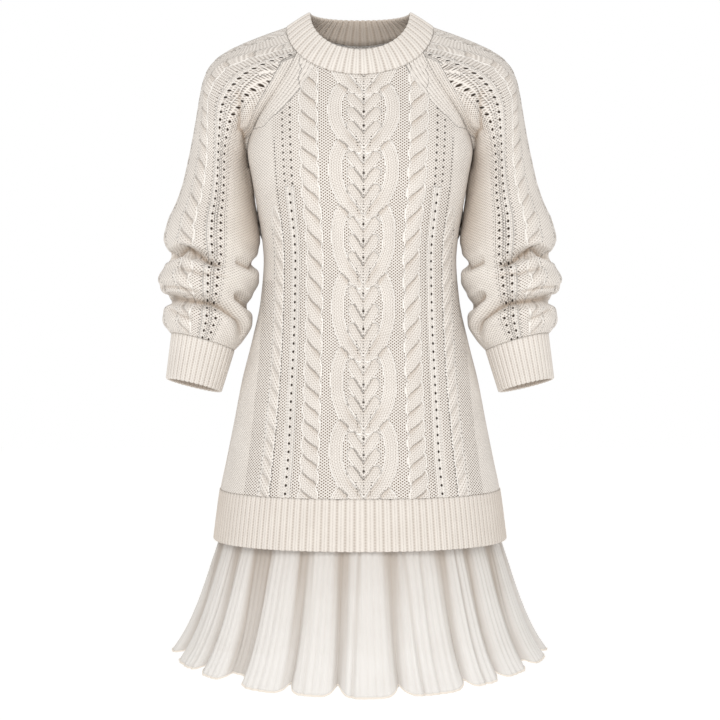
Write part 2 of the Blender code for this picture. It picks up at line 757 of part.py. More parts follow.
def neck_ring(turn):
    """The neck seam: turn 0 is the wearer's left, a quarter turn the back."""
    zero = np.zeros_like(turn)
    folded = np.arccos(np.clip(np.cos(turn), -1.0, 1.0))
    back = body_point(folded, zero, 1)
    front = body_point(folded, zero, -1)
    return np.where((np.sin(turn) >= 0.0)[..., None], back, front)


def collar_surface(turn, level):
    """From the neck seam (level 0) to the open top (level 1)."""
    sine = np.sin(turn)
    low = neck_ring(turn)
    depth = np.where(sine >= 0.0, COLLAR_TOP_BACK, COLLAR_TOP_FRONT)
    drop = np.where(sine >= 0.0, 0.001 * sine, -COLLAR_TOP_DROP * sine)
    top = np.stack([COLLAR_TOP_WIDTH * np.cos(turn), depth * sine, COLLAR_TOP_RISE - drop], axis=-1)
    point = low + (top - low) * level[..., None]
    swell = COLLAR_SWELL * np.sin(math.pi * np.clip(level, 0.0, 1.0))
    point[..., 0] += swell * np.cos(turn)
    point[..., 1] += swell * sine
    point[..., 2] += 2.0 * GAP
    return point


def make_collar(name, material):
    """The ribbed stand collar."""
    wall = ribbed_tube(collar_surface, COLLAR_RIBS, COLLAR_WALL, [0.0, 0.5, 1.0], 40, level_foot=True)
    return make_object(name, wall.points, wall.faces, material)


def band_surface(turn, level):
    """The hem band, from its lower edge (level 0) to the body (level 1)."""
    height = BAND_HEM + (BODY_HEM - BAND_HEM) * level
    folded = np.arccos(np.clip(np.cos(turn), -1.0, 1.0))
    back = body_point(folded, height, 1)
    front = body_point(folded, height, -1)
    point = np.where((np.sin(turn) >= 0.0)[..., None], back, front)
    point[..., 2] -= GAP
    return point


def make_band(name, material):
    """The deep ribbed hem band."""
    wall = ribbed_tube(band_surface, BAND_RIBS, RIB_WALL, [0.0, 1.0], 48)
    return make_object(name, wall.points, wall.faces, material)


# ---------------------------------------------------------------- flounce
flounce_width = curve(FLOUNCE, 1)
flounce_depth = curve(FLOUNCE, 2)


def bell_swell(turn):
    """How far the hem swings out round the body: uneven bells with hollows between them."""
    degrees = np.degrees(np.mod(turn, 2.0 * math.pi))
    swell = np.zeros_like(degrees)
    for middle, half, high in BELLS:
        away = np.abs((degrees - middle + 180.0) % 360.0 - 180.0) / half
        swell = np.maximum(swell, high * np.cos(np.clip(away, 0.0, 1.0) * math.pi / 2.0) ** 1.2)
    return swell


def flounce_surface(turn, level):
    """The frill from its hem (level 0) to its top inside the band (level 1)."""
    drop = 1.0 - level
    sine = np.abs(np.sin(turn))
    swing = bell_swell(turn)
    hem = FLOUNCE_SIDE_HEM + (FLOUNCE_MID_HEM - FLOUNCE_SIDE_HEM) * sine ** 1.2 - 0.35 * swing
    top = FLOUNCE_TOP - FLOUNCE_TOP_DIP * sine
    pleat = (PLEAT_TOP + (PLEAT_HEM - PLEAT_TOP) * drop) * np.cos(turn * PLEATS)
    out = (swing - HOLLOW) * smooth(drop) * drop + pleat
    x = (flounce_width(drop) + out) * np.cos(turn)
    y = (flounce_depth(drop) + out) * np.sin(turn)
    z = top + (hem - top) * drop
    return np.stack([x, y, z], axis=-1)


def make_flounce(name, material):
    """The pleated chiffon frill: both faces follow the pleats."""
    turns = np.linspace(0.0, 2 * math.pi, 2 * PLEATS + 1)
    levels = [0.0, 0.45, 1.0]

    def inside(turn, level):
        point = flounce_surface(turn, level)
        point[..., 0] -= CHIFFON * np.cos(turn)
        point[..., 1] -= CHIFFON * np.sin(turn)
        return point

    wall = tube(flounce_surface, inside, turns, turns, levels, levels)
    return make_object(name, wall.points, wall.faces, material)


# ---------------------------------------------------------------- the dress
def main():
    for old in list(bpy.data.objects):
        bpy.data.objects.remove(old, do_unlink=True)
    knit = make_material("knit")
    rib = make_material("rib")
    chiffon = make_material("chiffon")
    make_panel("front", -1, FRONT_COLUMNS, knit)
    make_panel("back", 1, BACK_COLUMNS, knit)
    make_sleeve("sleeve_left", 1, knit)
    make_sleeve("sleeve_right", -1, knit)
    make_cuff("cuff_left", 1, rib)
    make_cuff("cuff_right", -1, rib)
    make_collar("collar", rib)
    make_band("hem_band", rib)
    make_flounce("flounce", chiffon)


main()
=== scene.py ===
# %% [markdown]
# # A cable-knit sweater dress with a pleated chiffon flounce
#
# The dress is filled out as if somebody wore it.  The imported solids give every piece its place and
# size: they are loaded first, and each sheet of cloth made below stands for one of them.

import math

import bpy
import numpy as np

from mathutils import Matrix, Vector


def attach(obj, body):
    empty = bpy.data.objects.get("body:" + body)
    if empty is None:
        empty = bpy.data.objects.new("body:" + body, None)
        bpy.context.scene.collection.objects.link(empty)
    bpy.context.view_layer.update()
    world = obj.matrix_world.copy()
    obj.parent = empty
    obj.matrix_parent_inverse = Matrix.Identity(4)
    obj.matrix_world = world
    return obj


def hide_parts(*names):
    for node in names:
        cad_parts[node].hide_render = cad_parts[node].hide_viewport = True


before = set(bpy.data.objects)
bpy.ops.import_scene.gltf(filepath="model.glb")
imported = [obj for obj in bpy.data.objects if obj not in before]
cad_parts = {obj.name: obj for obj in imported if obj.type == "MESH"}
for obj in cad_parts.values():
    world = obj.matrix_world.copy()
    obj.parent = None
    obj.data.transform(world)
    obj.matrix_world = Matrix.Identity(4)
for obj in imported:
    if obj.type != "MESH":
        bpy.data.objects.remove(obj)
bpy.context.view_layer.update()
bpy.ops.object.select_all(action="DESELECT")
print("pieces of the frame:", sorted(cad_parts))

# %% [markdown]
# ## Curves and ramps
#
# A dress is measured like a pattern: a few heights with a width and a depth each.  A smooth curve
# through such a row of sizes, with no overshoot, gives every height in between.

# %% Curves, ramps and unit vectors
FULL_TURN = 2.0 * math.pi


def smooth(value):
    """0 below 0, 1 above 1, and an even ramp between them."""
    value = np.clip(value, 0.0, 1.0)
    return value * value * (3.0 - 2.0 * value)


def between(share, first, last):
    """The value that lies this share of the way from the first to the last."""
    return first + (last - first) * share


def hermite(t, start, leaving, end, arriving):
    """From start to end while t goes from 0 to 1, with the slopes of leaving and arriving."""
    return (start * (1 + 2 * t) * (1 - t) ** 2 + leaving * t * (1 - t) ** 2
            + end * t * t * (3 - 2 * t) - arriving * t * t * (1 - t))


def curve(rows, column):
    """A smooth curve with no overshoot through one column of a table, against its first one."""
    rows = np.array(sorted(rows), float)
    xs, ys = rows[:, 0], rows[:, column]
    step = np.diff(xs)
    rise = np.diff(ys) / step
    slope = np.concatenate([rise[:1], np.zeros(len(xs) - 2), rise[-1:]])
    for i in range(1, len(xs) - 1):
        if rise[i - 1] * rise[i] > 0:
            slope[i] = 2.0 * rise[i - 1] * rise[i] / (rise[i - 1] + rise[i])

    def value(x):
        x = np.clip(x, xs[0], xs[-1])
        i = np.clip(np.searchsorted(xs, x) - 1, 0, len(step) - 1)
        return hermite((x - xs[i]) / step[i], ys[i], slope[i] * step[i],
                       ys[i + 1], slope[i + 1] * step[i])

    return value


def unit(vectors):
    """The same vectors with length 1."""
    return vectors / np.maximum(np.linalg.norm(vectors, axis=-1, keepdims=True), 1e-12)


def outward(surface, u, v, step=1e-4):
    """Unit normals of a surface function."""
    along = surface(u + step, v) - surface(u - step, v)
    across = surface(u, v + step) - surface(u, v - step)
    return unit(np.cross(along, across))


def arc_length(points):
    """Length along a line of points, from the first point to each of them."""
    steps = np.linalg.norm(np.diff(points, axis=0), axis=-1)
    return np.concatenate([[0.0], np.cumsum(steps)])


def turns_round(count):
    """Evenly spaced turns of a closed ring, in radians."""
    return np.linspace(0.0, FULL_TURN, count, endpoint=False)


# %% [markdown]
# ## The body
#
# The knitted body is one tube that is cut into a front and a back.  Its section is an ellipse at
# the neck and a little squarer below.  Above the underarm the raglan seams take its corners away.

# %% Sizes of the body, in metres
KNIT = 0.003
RIB_WALL = 0.0035
COLLAR_WALL = 0.004
GAP = 0.0003
SEAM = 0.0001                 # what shows of the gap where a ribbed piece is sewn on
UNDERARM = -0.160
BODY_HEM = -0.5974
BAND_HEM = -0.6617
HEM_DIP = 0.0065
NECK_DROP = 0.071
NAPE_DROP = 0.015
NAPE_RISE = 0.030
SQUARENESS = 0.25
FRONT_NECK_ANGLE = math.radians(32.3)
BACK_NECK_ANGLE = math.radians(33.0)

# side height, half width, front depth, back depth
BODY = (
    (0.000, 0.0950, 0.0750, 0.062),
    (-0.040, 0.1090, 0.0865, 0.083),
    (-0.080, 0.1225, 0.0970, 0.094),
    (-0.120, 0.1360, 0.1060, 0.100),
    (-0.160, 0.1460, 0.1140, 0.103),
    (-0.195, 0.1405, 0.1180, 0.101),
    (-0.230, 0.1345, 0.1130, 0.097),
    (-0.276, 0.1270, 0.1020, 0.091),
    (-0.302, 0.1250, 0.0980, 0.088),
    (-0.354, 0.1290, 0.1010, 0.094),
    (-0.406, 0.1400, 0.1070, 0.102),
    (-0.458, 0.1530, 0.1130, 0.112),
    (-0.510, 0.1630, 0.1190, 0.119),
    (-0.562, 0.1735, 0.1250, 0.125),
    (-0.598, 0.1810, 0.1290, 0.129),
    (-0.662, 0.1895, 0.1355, 0.1355),
)

# height, how far the knit columns are spread there compared with the chest
COLUMN_SPREAD = (
    (0.000, 0.985),
    (-0.100, 0.990),
    (-0.195, 0.955),
    (-0.305, 0.860),
    (-0.380, 0.870),
    (-0.480, 0.910),
    (-0.546, 0.940),
    (-0.600, 0.985),
)

body_width, body_front, body_back = (curve(BODY, column) for column in (1, 2, 3))
column_spread = curve(COLUMN_SPREAD, 1)
print(f"half chest {float(body_width(UNDERARM)):.3f} m,",
      f"half width at the hem {float(body_width(BODY_HEM)):.3f} m")

# %% [markdown]
# The body could be a mesh that is pushed into shape by hand.  A function of an angle and a height
# is used here, because sleeves, collar and band then start on exactly the same surface.

# %% Surface of the body
def rise_above_underarm(height):
    """0 at the underarm and below, 1 at the neck seam."""
    return np.clip((height - UNDERARM) / -UNDERARM, 0.0, 1.0)


def body_point(angle, height, side):
    """A point of the body: angle 0 is the wearer's left side, side -1 the front and 1 the back."""
    power = 2.0 + SQUARENESS * np.clip(height / UNDERARM, 0.0, 1.0)
    cosine = np.cos(angle)
    sine = np.maximum(np.sin(angle), 0.0)
    depth = body_front(height) if side < 0 else body_back(height)
    x = body_width(height) * np.sign(cosine) * np.abs(cosine) ** (2.0 / power)
    y = side * (depth * sine ** (2.0 / power) + GAP / 2)
    drop = NECK_DROP * sine
    if side > 0:
        drop = NAPE_DROP * sine ** 2 - NAPE_RISE * sine * (1.0 - sine)
    fall = np.clip((UNDERARM - height) / (UNDERARM - BODY_HEM), 0.0, 1.0)
    z = height - rise_above_underarm(height) * drop - fall * HEM_DIP * sine
    return np.stack([x, y, z], axis=-1)


def raglan_angle(height, side):
    """Angle of the raglan seam on the body, 0 at the underarm and below."""
    full = FRONT_NECK_ANGLE if side < 0 else BACK_NECK_ANGLE
    return full * (1.0 - (1.0 - rise_above_underarm(height)) ** 2)


print("middle of the front hem:", body_point(math.pi / 2, BODY_HEM, -1).round(4))

# %% [markdown]
# ## The cable chart
#
# Cables are strands of plain stitches that pass over each other on a ground of moss stitch.  The
# chart is read from the middle of the dress outwards: a braid of V shapes, an oval whose wide
# strand dives over the next one, a rope, a column of eyelets, moss, and a slim rope at the side.
# A picture of heights could stand for all this, but functions stay sharp at any distance.  The same
# ones give the height of the knit, the direction of its stitches and its kind, so that relief and
# stitches can't part.

# %% Sizes of the middle panel
# heights where the wide strand of the middle panel dives over the next one
CROSSINGS = (0.002, -0.082, -0.156, -0.237, -0.321, -0.413, -0.504, -0.588, -0.672)
STEP_HEIGHT = 0.084       # usual height of one step, between two crossings

# steps of the wide strand after its crossing, and its distance from the middle
WIDE_STRAND = (
    (0.00, 0.0210),
    (0.15, 0.0305),
    (0.30, 0.0355),
    (0.45, 0.0370),
    (0.60, 0.0365),
    (0.75, 0.0335),
    (0.90, 0.0275),
    (1.00, 0.0225),
    (1.10, 0.0150),
    (1.27, 0.0030),
)
WIDE_HALF = 0.0086
WIDE_HEIGHT = 0.0027
DIVE = 0.27               # steps from a crossing to the end of the strand that dives there
DIVE_TIP = 1.08           # step at which that strand's tip begins to round off
DIVE_TIP_LENGTH = 0.16
SMALL_FOOT = (0.53, 0.78, 1.03)   # steps at which the small strands reach the middle
SMALL_RISE = 0.29
SMALL_SPAN = 0.0180
SMALL_HALF = 0.0082
SMALL_HEIGHT = 0.0022
SMALL_TIP = 0.88          # share of its run at which a small strand's tip begins to round off

wide_offset = curve(WIDE_STRAND, 1)
WIDE_TURNS = np.linspace(0.0, 1.3, 131)
WIDE_LENGTH = arc_length(np.stack([wide_offset(WIDE_TURNS), WIDE_TURNS * STEP_HEIGHT], axis=-1))
print(f"one wide strand is {WIDE_LENGTH[-1]:.3f} m long")

# %% Sizes of the outer columns
# height, and how many strands of a rope have begun above it
ROPE_COUNT = (
    (0.0000, -3.4), (-0.0872, 0.0), (-0.1397, 2.0), (-0.1852, 4.0), (-0.2352, 6.0), (-0.2915, 8.0),
    (-0.3476, 10.0), (-0.4024, 12.0), (-0.4575, 14.0), (-0.5035, 16.0), (-0.5463, 18.0),
    (-0.5892, 20.0), (-0.6500, 22.8),
)
ROPE_PITCH = 0.0250
ROPE_START = 0.024        # length over which a rope grows out of the ground
ROPE_TURN = 0.96          # share of a step in which a strand passes from one edge to the other
# distance from the middle, half width, height, first and last level
ROPES = (
    (0.0705, 0.0118, 0.0026, -0.010, -0.640),
    (0.1235, 0.0066, 0.0017, -0.235, -0.640),
)
# the chart's middle lies a little beside the middle of the front, and its outer columns drift out
CHART_SHIFT = 0.0048
SIDE_DRIFT = 0.0035
OUTER_COLUMNS = 0.1125    # the columns beyond this distance drift
# inner and outer edge of each field of moss stitch, its first and last level
MOSS_FIELDS = (
    (0.0170, 0.0600, 1.000, -1.000),
    (0.0815, 0.0940, 1.000, -1.000),
    (0.0815, 0.1120, 1.000, -0.215),
    (0.1050, 0.1180, -0.100, -1.000),
    (0.1330, 0.1500, -0.330, -1.000),
)
CHEST = -0.215            # the lace of the chest ends at this level
LACE_EDGE = 0.0815        # its inner edge
LACE_MOSS = 0.45          # its ground is this much moss stitch
# the smooth columns beside the eyelets: distance, first and last level
SMOOTH_COLUMNS = (
    (0.0962, -0.215, -0.640), (0.1030, -0.215, -0.640),
)
SMOOTH_HALF = 0.0015
# distance, half width and pitch of the holes of each ladder, their strength, first and last level
LADDERS = (
    (0.0000, 0.0012, 0.0038, 0.75, 0.000, -0.640),
    (0.0905, 0.0008, 0.0046, 0.50, -0.215, -0.640),
    (0.0995, 0.0017, 0.0104, 1.00, -0.215, -0.640),
    (0.0945, 0.0015, 0.0098, 0.90, -0.080, -0.215),
    (0.1045, 0.0014, 0.0088, 0.85, -0.105, -0.215),
    (0.1158, 0.0012, 0.0045, 0.85, -0.150, -0.640),
    (0.1312, 0.0010, 0.0056, 0.60, -0.260, -0.640),
)
HOLE_REACH = 3.0          # a ladder ends at this many half widths from its middle
# the cluster of holes in each oval: distance, half width of its field, end as a share of a step
CLUSTER = (0.0085, 0.004, 0.26)
# holes of a cluster: distance of the first, slant, half width, pitch
CLUSTER_HOLES = (0.0105, 0.012, 0.0011, 0.0038)
# steps at which one hole ties the two halves of the braid, its half width and its length
TIE_LEVELS = (0.30, 0.54, 0.785)
TIE_HALF = 0.0017
TIE_LENGTH = 0.0105
RAGLAN_BAND = 0.0140
RAGLAN_PITCH = 0.0031
RAGLAN_HEIGHT = 0.0008
BODY_BAND = 0.0340        # the rows of the body cross the same ribs at a slant
BODY_BAND_PITCH = 0.0063
print(len(LADDERS), "ladders of eyelets and", len(MOSS_FIELDS), "fields of moss stitch")

# %% [markdown]
# ### Strands
#
# Where two strands meet, the knitter has carried one across in front of the other.  So each strand
# is laid over what is there, wherever it stands higher, and shades the one that it covers.

# %% How strands lie over each other
def layer(found, height, across, along, edge, where, shadow=0.0):
    """Lays one strand over what is there: its height, the directions of its stitches, how near a
    point is to its edge (1), and how much shadow falls on it."""
    higher = where & (height > found["height"])
    fresh = dict(height=height, across=across, along=along, edge=edge, moss=0.0, shadow=shadow)
    for key, value in fresh.items():
        found[key] = np.where(higher, value, found[key])


def bare_ground(across, along):
    """The knit before any strand is laid on it."""
    zero = np.zeros_like(along)
    return dict(height=zero, across=across, along=along, edge=zero + 2.0, moss=zero, shadow=zero)


def lay_column(found, away, half, height, along, where=True, shadow=0.0):
    """A straight column of plain stitches with a rounded back."""
    off = np.abs(away)
    lift = height * (1.0 - np.clip(off / half, 0.0, 1.0) ** 2.4) ** 1.35
    layer(found, lift, away, along, off / half, (off < half) & where, shadow)


def strand(place, away, height, lean=1.0):
    """Section of a strand that rises softly from under its neighbour and ends in a crisp edge."""
    power = 2.4 + np.where(place > 0.0, 1.4, -0.4) * lean
    section = (1.0 - np.clip(away, 0.0, 1.0) ** power) ** 1.15
    return height * section * (1.0 - 0.24 * lean * (1.0 - place))


def tucked(place):
    """Shadow on the side of a strand that lies under its neighbour."""
    return 0.75 * smooth((0.15 - place) / 1.1) + 0.30 * smooth((-place - 0.75) / 0.25)


# %% [markdown]
# The middle panel repeats with each crossing.  Both kinds of strand are drawn in steps of one
# crossing, this one and the one before it, because a strand reaches into the next step.

# %% The middle panel
def cable_step(z):
    """Counts the crossings of the middle panel down from the neck."""
    levels = np.array(CROSSINGS[::-1])
    return np.interp(z, levels, np.arange(len(levels))[::-1])


def small_strands(found, chart, local):
    """The braid: small strands run down from the oval and meet in the middle in a V."""
    drop = SMALL_RISE * STEP_HEIGHT
    run = math.hypot(SMALL_SPAN, drop)
    sine, cosine = SMALL_SPAN / run, drop / run
    half = SMALL_HALF * cosine
    for foot in SMALL_FOOT:
        for turn in (local, local + 1.0):
            up = (foot - turn) * STEP_HEIGHT
            along = chart * sine + up * cosine
            across = chart * cosine - up * sine
            place = across / half
            tip = np.maximum(along - SMALL_TIP * run, 0.0)
            away = np.hypot(across, tip) / half
            rising = 0.30 + 0.70 * smooth((1.10 * run - along) / (0.6 * run))
            edge = np.where((place < 0.0) | (tip > 0.0), 0.0, away)
            shadow = 0.45 * tucked(place) + 0.10 * smooth((along / run - 0.6) / 0.5)
            layer(found, strand(place, away, SMALL_HEIGHT) * rising, across, along, edge,
                  (away < 1.0) & (along > -0.3 * run), shadow)


def wide_strand(found, chart, local):
    """The oval: a wide strand that dives under the next one at each crossing."""
    diving = (chart - wide_offset(1.0 + np.minimum(local, DIVE))) / (WIDE_HALF * 1.35)
    for lap in (0.0, 1.0):
        turn = local + lap
        centre = wide_offset(turn)
        slope = (wide_offset(turn + 0.02) - wide_offset(turn - 0.02)) / 0.04
        slant = np.sqrt(1.0 + (slope / STEP_HEIGHT) ** 2)
        half = WIDE_HALF * slant * (1.0 - 0.30 * smooth((turn - 1.0) / DIVE))
        top = WIDE_HEIGHT * (0.40 + 0.60 * smooth(turn / 0.30))
        place = (chart - centre) / half
        lean = smooth((turn - 0.75) / 0.25)
        shadow = tucked(place) * lean * 0.7
        if lap == 0.0:
            under = smooth((1.5 - diving) / 0.5) * smooth((DIVE - local) / 0.05)
            shadow = shadow + 0.65 * under
        away = np.hypot(place, np.maximum(turn - DIVE_TIP, 0.0) / DIVE_TIP_LENGTH)
        along = (np.interp(turn, WIDE_TURNS, WIDE_LENGTH)
                 + (chart - centre) * slope / STEP_HEIGHT / slant)
        layer(found, strand(place, away, top, lean), (chart - centre) / slant, along, away,
              away < 1.0, shadow)


# %% [markdown]
# In a rope two strands take turns.  The line between them swings from the outer edge to the inner
# one like a cosine, and each strand is highest and widest in the middle of its way.

# %% Ropes
def rope(found, chart, count, z, sizes):
    """A rope: each strand begins at its outer edge, under the last one, and ends at its inner edge.

    The newer of the two strands at a level lies outside the crossing, the older one inside it."""
    centre, half, top, first, last = sizes
    there = smooth((first - z) / ROPE_START)
    since = count - np.floor(count)
    width = half * (0.35 + 0.65 * there) * (0.74 + 0.35 * np.sin(math.pi * since) ** 0.7)
    turn = np.clip(since / ROPE_TURN, 0.0, 1.0)
    crossing = width * (0.60 * np.cos(math.pi * turn) + 0.40 * (1.0 - 2.0 * turn))
    off = chart - centre
    for older, outer, inner in ((0.0, width, crossing), (1.0, crossing, -width)):
        wide = np.maximum((outer - inner) / 2.0, 1e-5)
        place = (off - (outer + inner) / 2.0) / wide
        share = older / 2.0 + since / 2.0      # how much of the strand's length lies above
        rising = smooth(wide / (0.40 * half)) * (0.70 + 0.30 * smooth(share / 0.5))
        fresh = smooth((0.62 - share) / 0.3)
        lift = strand(place, np.abs(place), top) * rising * there
        line = half * (1.0 - 2.0 * (since + older) / ROPE_TURN)
        layer(found, lift, (off - line) * 0.72, (-z - chart) * 0.72, np.abs(off) / width,
              (np.abs(place) < 1.0) & (there > 0.02),
              tucked(place) * fresh * there * (top / 0.0026) ** 2)


rope_count = curve(ROPE_COUNT, 1)


# %% The whole chart
def drifting(chart, z):
    """Returns a function that gives the chart as the columns at a distance lie in it."""
    outer = chart - SIDE_DRIFT * smooth((-0.45 - z) / 0.12)
    return lambda distance: outer if distance > OUTER_COLUMNS else chart


def chart_of(x, z, arc_across, shift):
    """Height, stitch directions and moss of the cabled knit at these places."""
    chart = np.abs(x / column_spread(z) - shift)
    column = drifting(chart, z)
    found = bare_ground(arc_across, -z)
    ground = np.zeros(len(z), bool)
    for inner, outer, first, last in MOSS_FIELDS:
        at = column(outer)
        ground |= (at > inner) & (at < outer) & (z < first) & (z > last)
    found["moss"] = np.where((chart > LACE_EDGE) & (z > CHEST), LACE_MOSS, 1.0) * ground
    local = cable_step(z) % 1.0
    small_strands(found, chart, local)
    wide_strand(found, chart, local)
    for sizes in ROPES:
        rope(found, column(sizes[0]), rope_count(z), z, sizes)
    for distance, first, last in SMOOTH_COLUMNS:
        lay_column(found, chart - distance, SMOOTH_HALF, 0.0007, -z, (z < first) & (z > last))
    return found, chart


# %% [markdown]
# ### Eyelets
#
# An eyelet is a hole between stitches.  Cut into the mesh, hundreds of holes would need a very fine
# grid.  Each point only stores where it lies beside its nearest hole, and the finish paints the hole
# with painted shade, as the shaded inside of the dress would show through it.

# %% Eyelets
def put(values, where, fresh):
    """New values in place of the old ones where a condition holds."""
    return [np.where(where, new, old) for new, old in zip(fresh, values)]


def nearest_holes(ladders, down):
    """Each point's place by its nearest ladder of eyelets: across, along and strength.

    A ladder is given by how far the points lie from it, the half width and pitch of its holes,
    their strength, and where it runs."""
    holes = [np.full_like(down, 9.0), np.zeros_like(down), np.zeros_like(down)]
    for away, half, pitch, strength, there in ladders:
        off = away / half
        near = (np.abs(off) < np.abs(holes[0])) & there
        holes = put(holes, near, (off, down / pitch, strength))
    return holes


def eyelets_of(chart, z):
    """The eyelets of the body: its ladders, the clusters in the ovals and the ties of the braid."""
    column = drifting(chart, z)
    ladders = [(column(distance) - distance, half, pitch, strength, (z < first) & (z > last))
               for distance, half, pitch, strength, first, last in LADDERS]
    holes = nearest_holes(ladders, -z)
    holes[2] = np.where(np.abs(holes[0]) > HOLE_REACH, 0.0, holes[2])
    step = cable_step(z)
    local = (step % 1.0 + 0.1) % 1.0
    middle, reach, end = CLUSTER
    cluster = (np.abs(chart - middle) < reach) & (local < end)
    firm = 0.85 * smooth(local / 0.05) * smooth((end - local) / 0.05)
    start, slant, half, pitch = CLUSTER_HOLES
    holes = put(holes, cluster, ((chart - start + slant * local) / half, -z / pitch, firm))
    for foot in TIE_LEVELS:
        level = ((step - foot + 0.5) % 1.0 - 0.5) * STEP_HEIGHT
        near = (chart < 2.0 * TIE_HALF) & (np.abs(level) < 0.0020)
        holes = put(holes, near, (chart / TIE_HALF, 0.5 + level / TIE_LENGTH, 1.0))
    return np.stack(holes, axis=-1)


# %% [markdown]
# The knit gets painted shade in its hollows, and along the raglan seams it turns into narrow ribs.

# %% Hollows and raglan ribs
AROUND = ((1.0, 0.0), (-1.0, 0.0), (0.0, 1.0), (0.0, -1.0))
BESIDE = 0.0026           # the knit is compared with itself at this distance on four sides
HOLLOW_DEPTH = 0.0014     # a point this much deeper than the knit beside it is fully shaded
SEAM_HOLE = 0.0012        # half width of the holes in a seam
SEAM_REACH = 0.004        # they are drawn up to this distance from the seam


def hollow_shade(found, heights):
    """Shade of the points that lie deeper than those beside them, with the shadows of strands."""
    around = sum(height / len(AROUND) for height in heights)
    deeper = np.clip((around - found["height"]) / HOLLOW_DEPTH, 0.0, 1.0)
    return deeper * 0.12 + found["shadow"]


def raglan_ribs(edge, pitch):
    """Relief of the ribs that run beside a raglan seam."""
    return RAGLAN_HEIGHT * (0.5 + 0.5 * np.cos(FULL_TURN * edge / pitch))


def lay_band(found, in_band, at_seam, across, along, seam):
    """Turns the stitches beside a raglan seam into its ribs, and pricks the holes of the seam."""
    ribbed = dict(across=across, along=along, moss=0.0, crease=0.0, edge=2.0)
    for key, value in ribbed.items():
        found[key] = np.where(in_band, value, found[key])
    eyelet = np.where(in_band[:, None], (9.0, 0.0, 0.0), found["eyelet"])
    found["eyelet"] = np.where(at_seam[:, None], np.stack(seam, axis=-1), eyelet)


# %% [markdown]
# ## A sheet of knitting
#
# A panel is a wall: an outer face with the relief of its stitches, a plain inner face, and rims
# between them.  The class below gathers rows of points with what each point knows about the
# knitting, joins neighbouring rows, and makes one mesh with a UV map along the stitches.

# %% Walls of cloth
# what a point knows about the knitting, and what it is where nothing is said
# crease: how much painted shade a point gets, in hollows, creases, strand shadows and on sides
# turned from the light
PLAIN = dict(stitch=(0.0, 0.0), eyelet=(9.0, 0.0, 0.0), moss=0.0, crease=0.0, edge=2.0, band=0.0)


class Wall:
    """Rows of points of one closed wall, with values for the cloth's finish."""

    def __init__(self):
        self.points = []
        self.values = {key: [] for key in PLAIN}
        self.faces = []
        self.count = 0

    def add(self, points, **values):
        """Adds a row of points; returns their numbers."""
        self.points.append(points)
        for key, plain in PLAIN.items():
            shape = (len(points), *np.shape(plain))
            self.values[key].append(np.broadcast_to(values.get(key, plain), shape))
        self.count += len(points)
        return np.arange(self.count - len(points), self.count)

    def grid(self, rows, flip=False, wrap=False):
        """Four-sided faces between rows of equal length."""
        rows = np.asarray(rows)
        if wrap:
            rows = np.concatenate([rows, rows[:, :1]], axis=1)
        quads = np.stack([rows[:-1, :-1], rows[:-1, 1:], rows[1:, 1:], rows[1:, :-1]], axis=-1)
        quads = quads.reshape(-1, 4)
        self.faces.extend((quads[:, ::-1] if flip else quads).tolist())

    def zip_rows(self, lower, upper, flip=False):
        """Faces between two rows of (keys, numbers) that needn't have the same length."""
        keys_a, a = lower
        keys_b, b = upper
        i = j = 0
        while i < len(a) - 1 or j < len(b) - 1:
            both = i < len(a) - 1 and j < len(b) - 1
            if both and keys_a[i] == keys_b[j] and keys_a[i + 1] == keys_b[j + 1]:
                face = [a[i], a[i + 1], b[j + 1], b[j]]
                i += 1
                j += 1
            elif j == len(b) - 1 or (both and keys_a[i + 1] <= keys_b[j + 1]):
                face = [a[i], a[i + 1], b[j]]
                i += 1
            else:
                face = [a[i], b[j + 1], b[j]]
                j += 1
            self.faces.append(face[::-1] if flip else face)

    def make(self, name, material, mirror=False, period=None):
        """One mesh object, shaded smooth, that carries the stitch map and the values.

        Round a tube the stitch map starts again after each period, so the last faces are shifted.
        """
        points = np.concatenate(self.points)
        faces = self.faces
        if mirror:
            points = points * (-1.0, 1.0, 1.0)
            faces = [face[::-1] for face in faces]
        mesh = bpy.data.meshes.new(name)
        mesh.from_pydata(points.tolist(), [], faces)
        mesh.materials.append(material)
        corners = np.zeros(len(mesh.loops), int)
        mesh.loops.foreach_get("vertex_index", corners)
        values = {key: np.concatenate(rows) for key, rows in self.values.items()}
        stitch = values.pop("stitch")[corners]
        if period:
            starts = np.zeros(len(mesh.polygons), int)
            totals = np.zeros(len(mesh.polygons), int)
            mesh.polygons.foreach_get("loop_start", starts)
            mesh.polygons.foreach_get("loop_total", totals)
            highest = np.repeat(np.maximum.reduceat(stitch[:, 0], starts), totals)
            stitch[:, 0] += np.where(highest - stitch[:, 0] > period / 2, period, 0.0)
        uv_map = mesh.uv_layers.new(name="stitch")
        uv_map.data.foreach_set("uv", stitch.astype(np.float32).ravel())
        for key, value in values.items():
            kind, field = ("FLOAT_VECTOR", "vector") if value.ndim > 1 else ("FLOAT", "value")
            attribute = mesh.attributes.new(key, kind, "POINT")
            attribute.data.foreach_set(field, value.astype(np.float32).ravel())
        mesh.shade_smooth()
        piece = bpy.data.objects.new(name, mesh)
        bpy.context.scene.collection.objects.link(piece)
        return piece


def add_knit(wall, points, found):
    """Adds a row of knitting: its points, and what the chart found there."""
    stitch = np.stack([found["across"], found["along"]], axis=-1) * 1000.0
    values = {key: found[key] for key in PLAIN if key != "stitch"}
    return wall.add(points, stitch=stitch, **values)


def declare(piece, node):
    """Hangs a piece on the root, hides the solid of the node it stands for, and prints its triangles
    and cloth.
    """
    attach(piece, "root")
    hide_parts(node)
    faces = piece.data.polygons
    triangles = sum(len(face.vertices) - 2 for face in faces)
    cloth = sum(face.area for face in faces) / 2.0
    print(f"{piece.name}: {triangles} triangles, cloth {cloth:.4f} m2")

# %% [markdown]
# ## Shader arithmetic
#
# Stitches are small sums of waves.  A socket wrapped in a class with + - * / reads like the sum on
# paper, and adds one Math node for each sign.

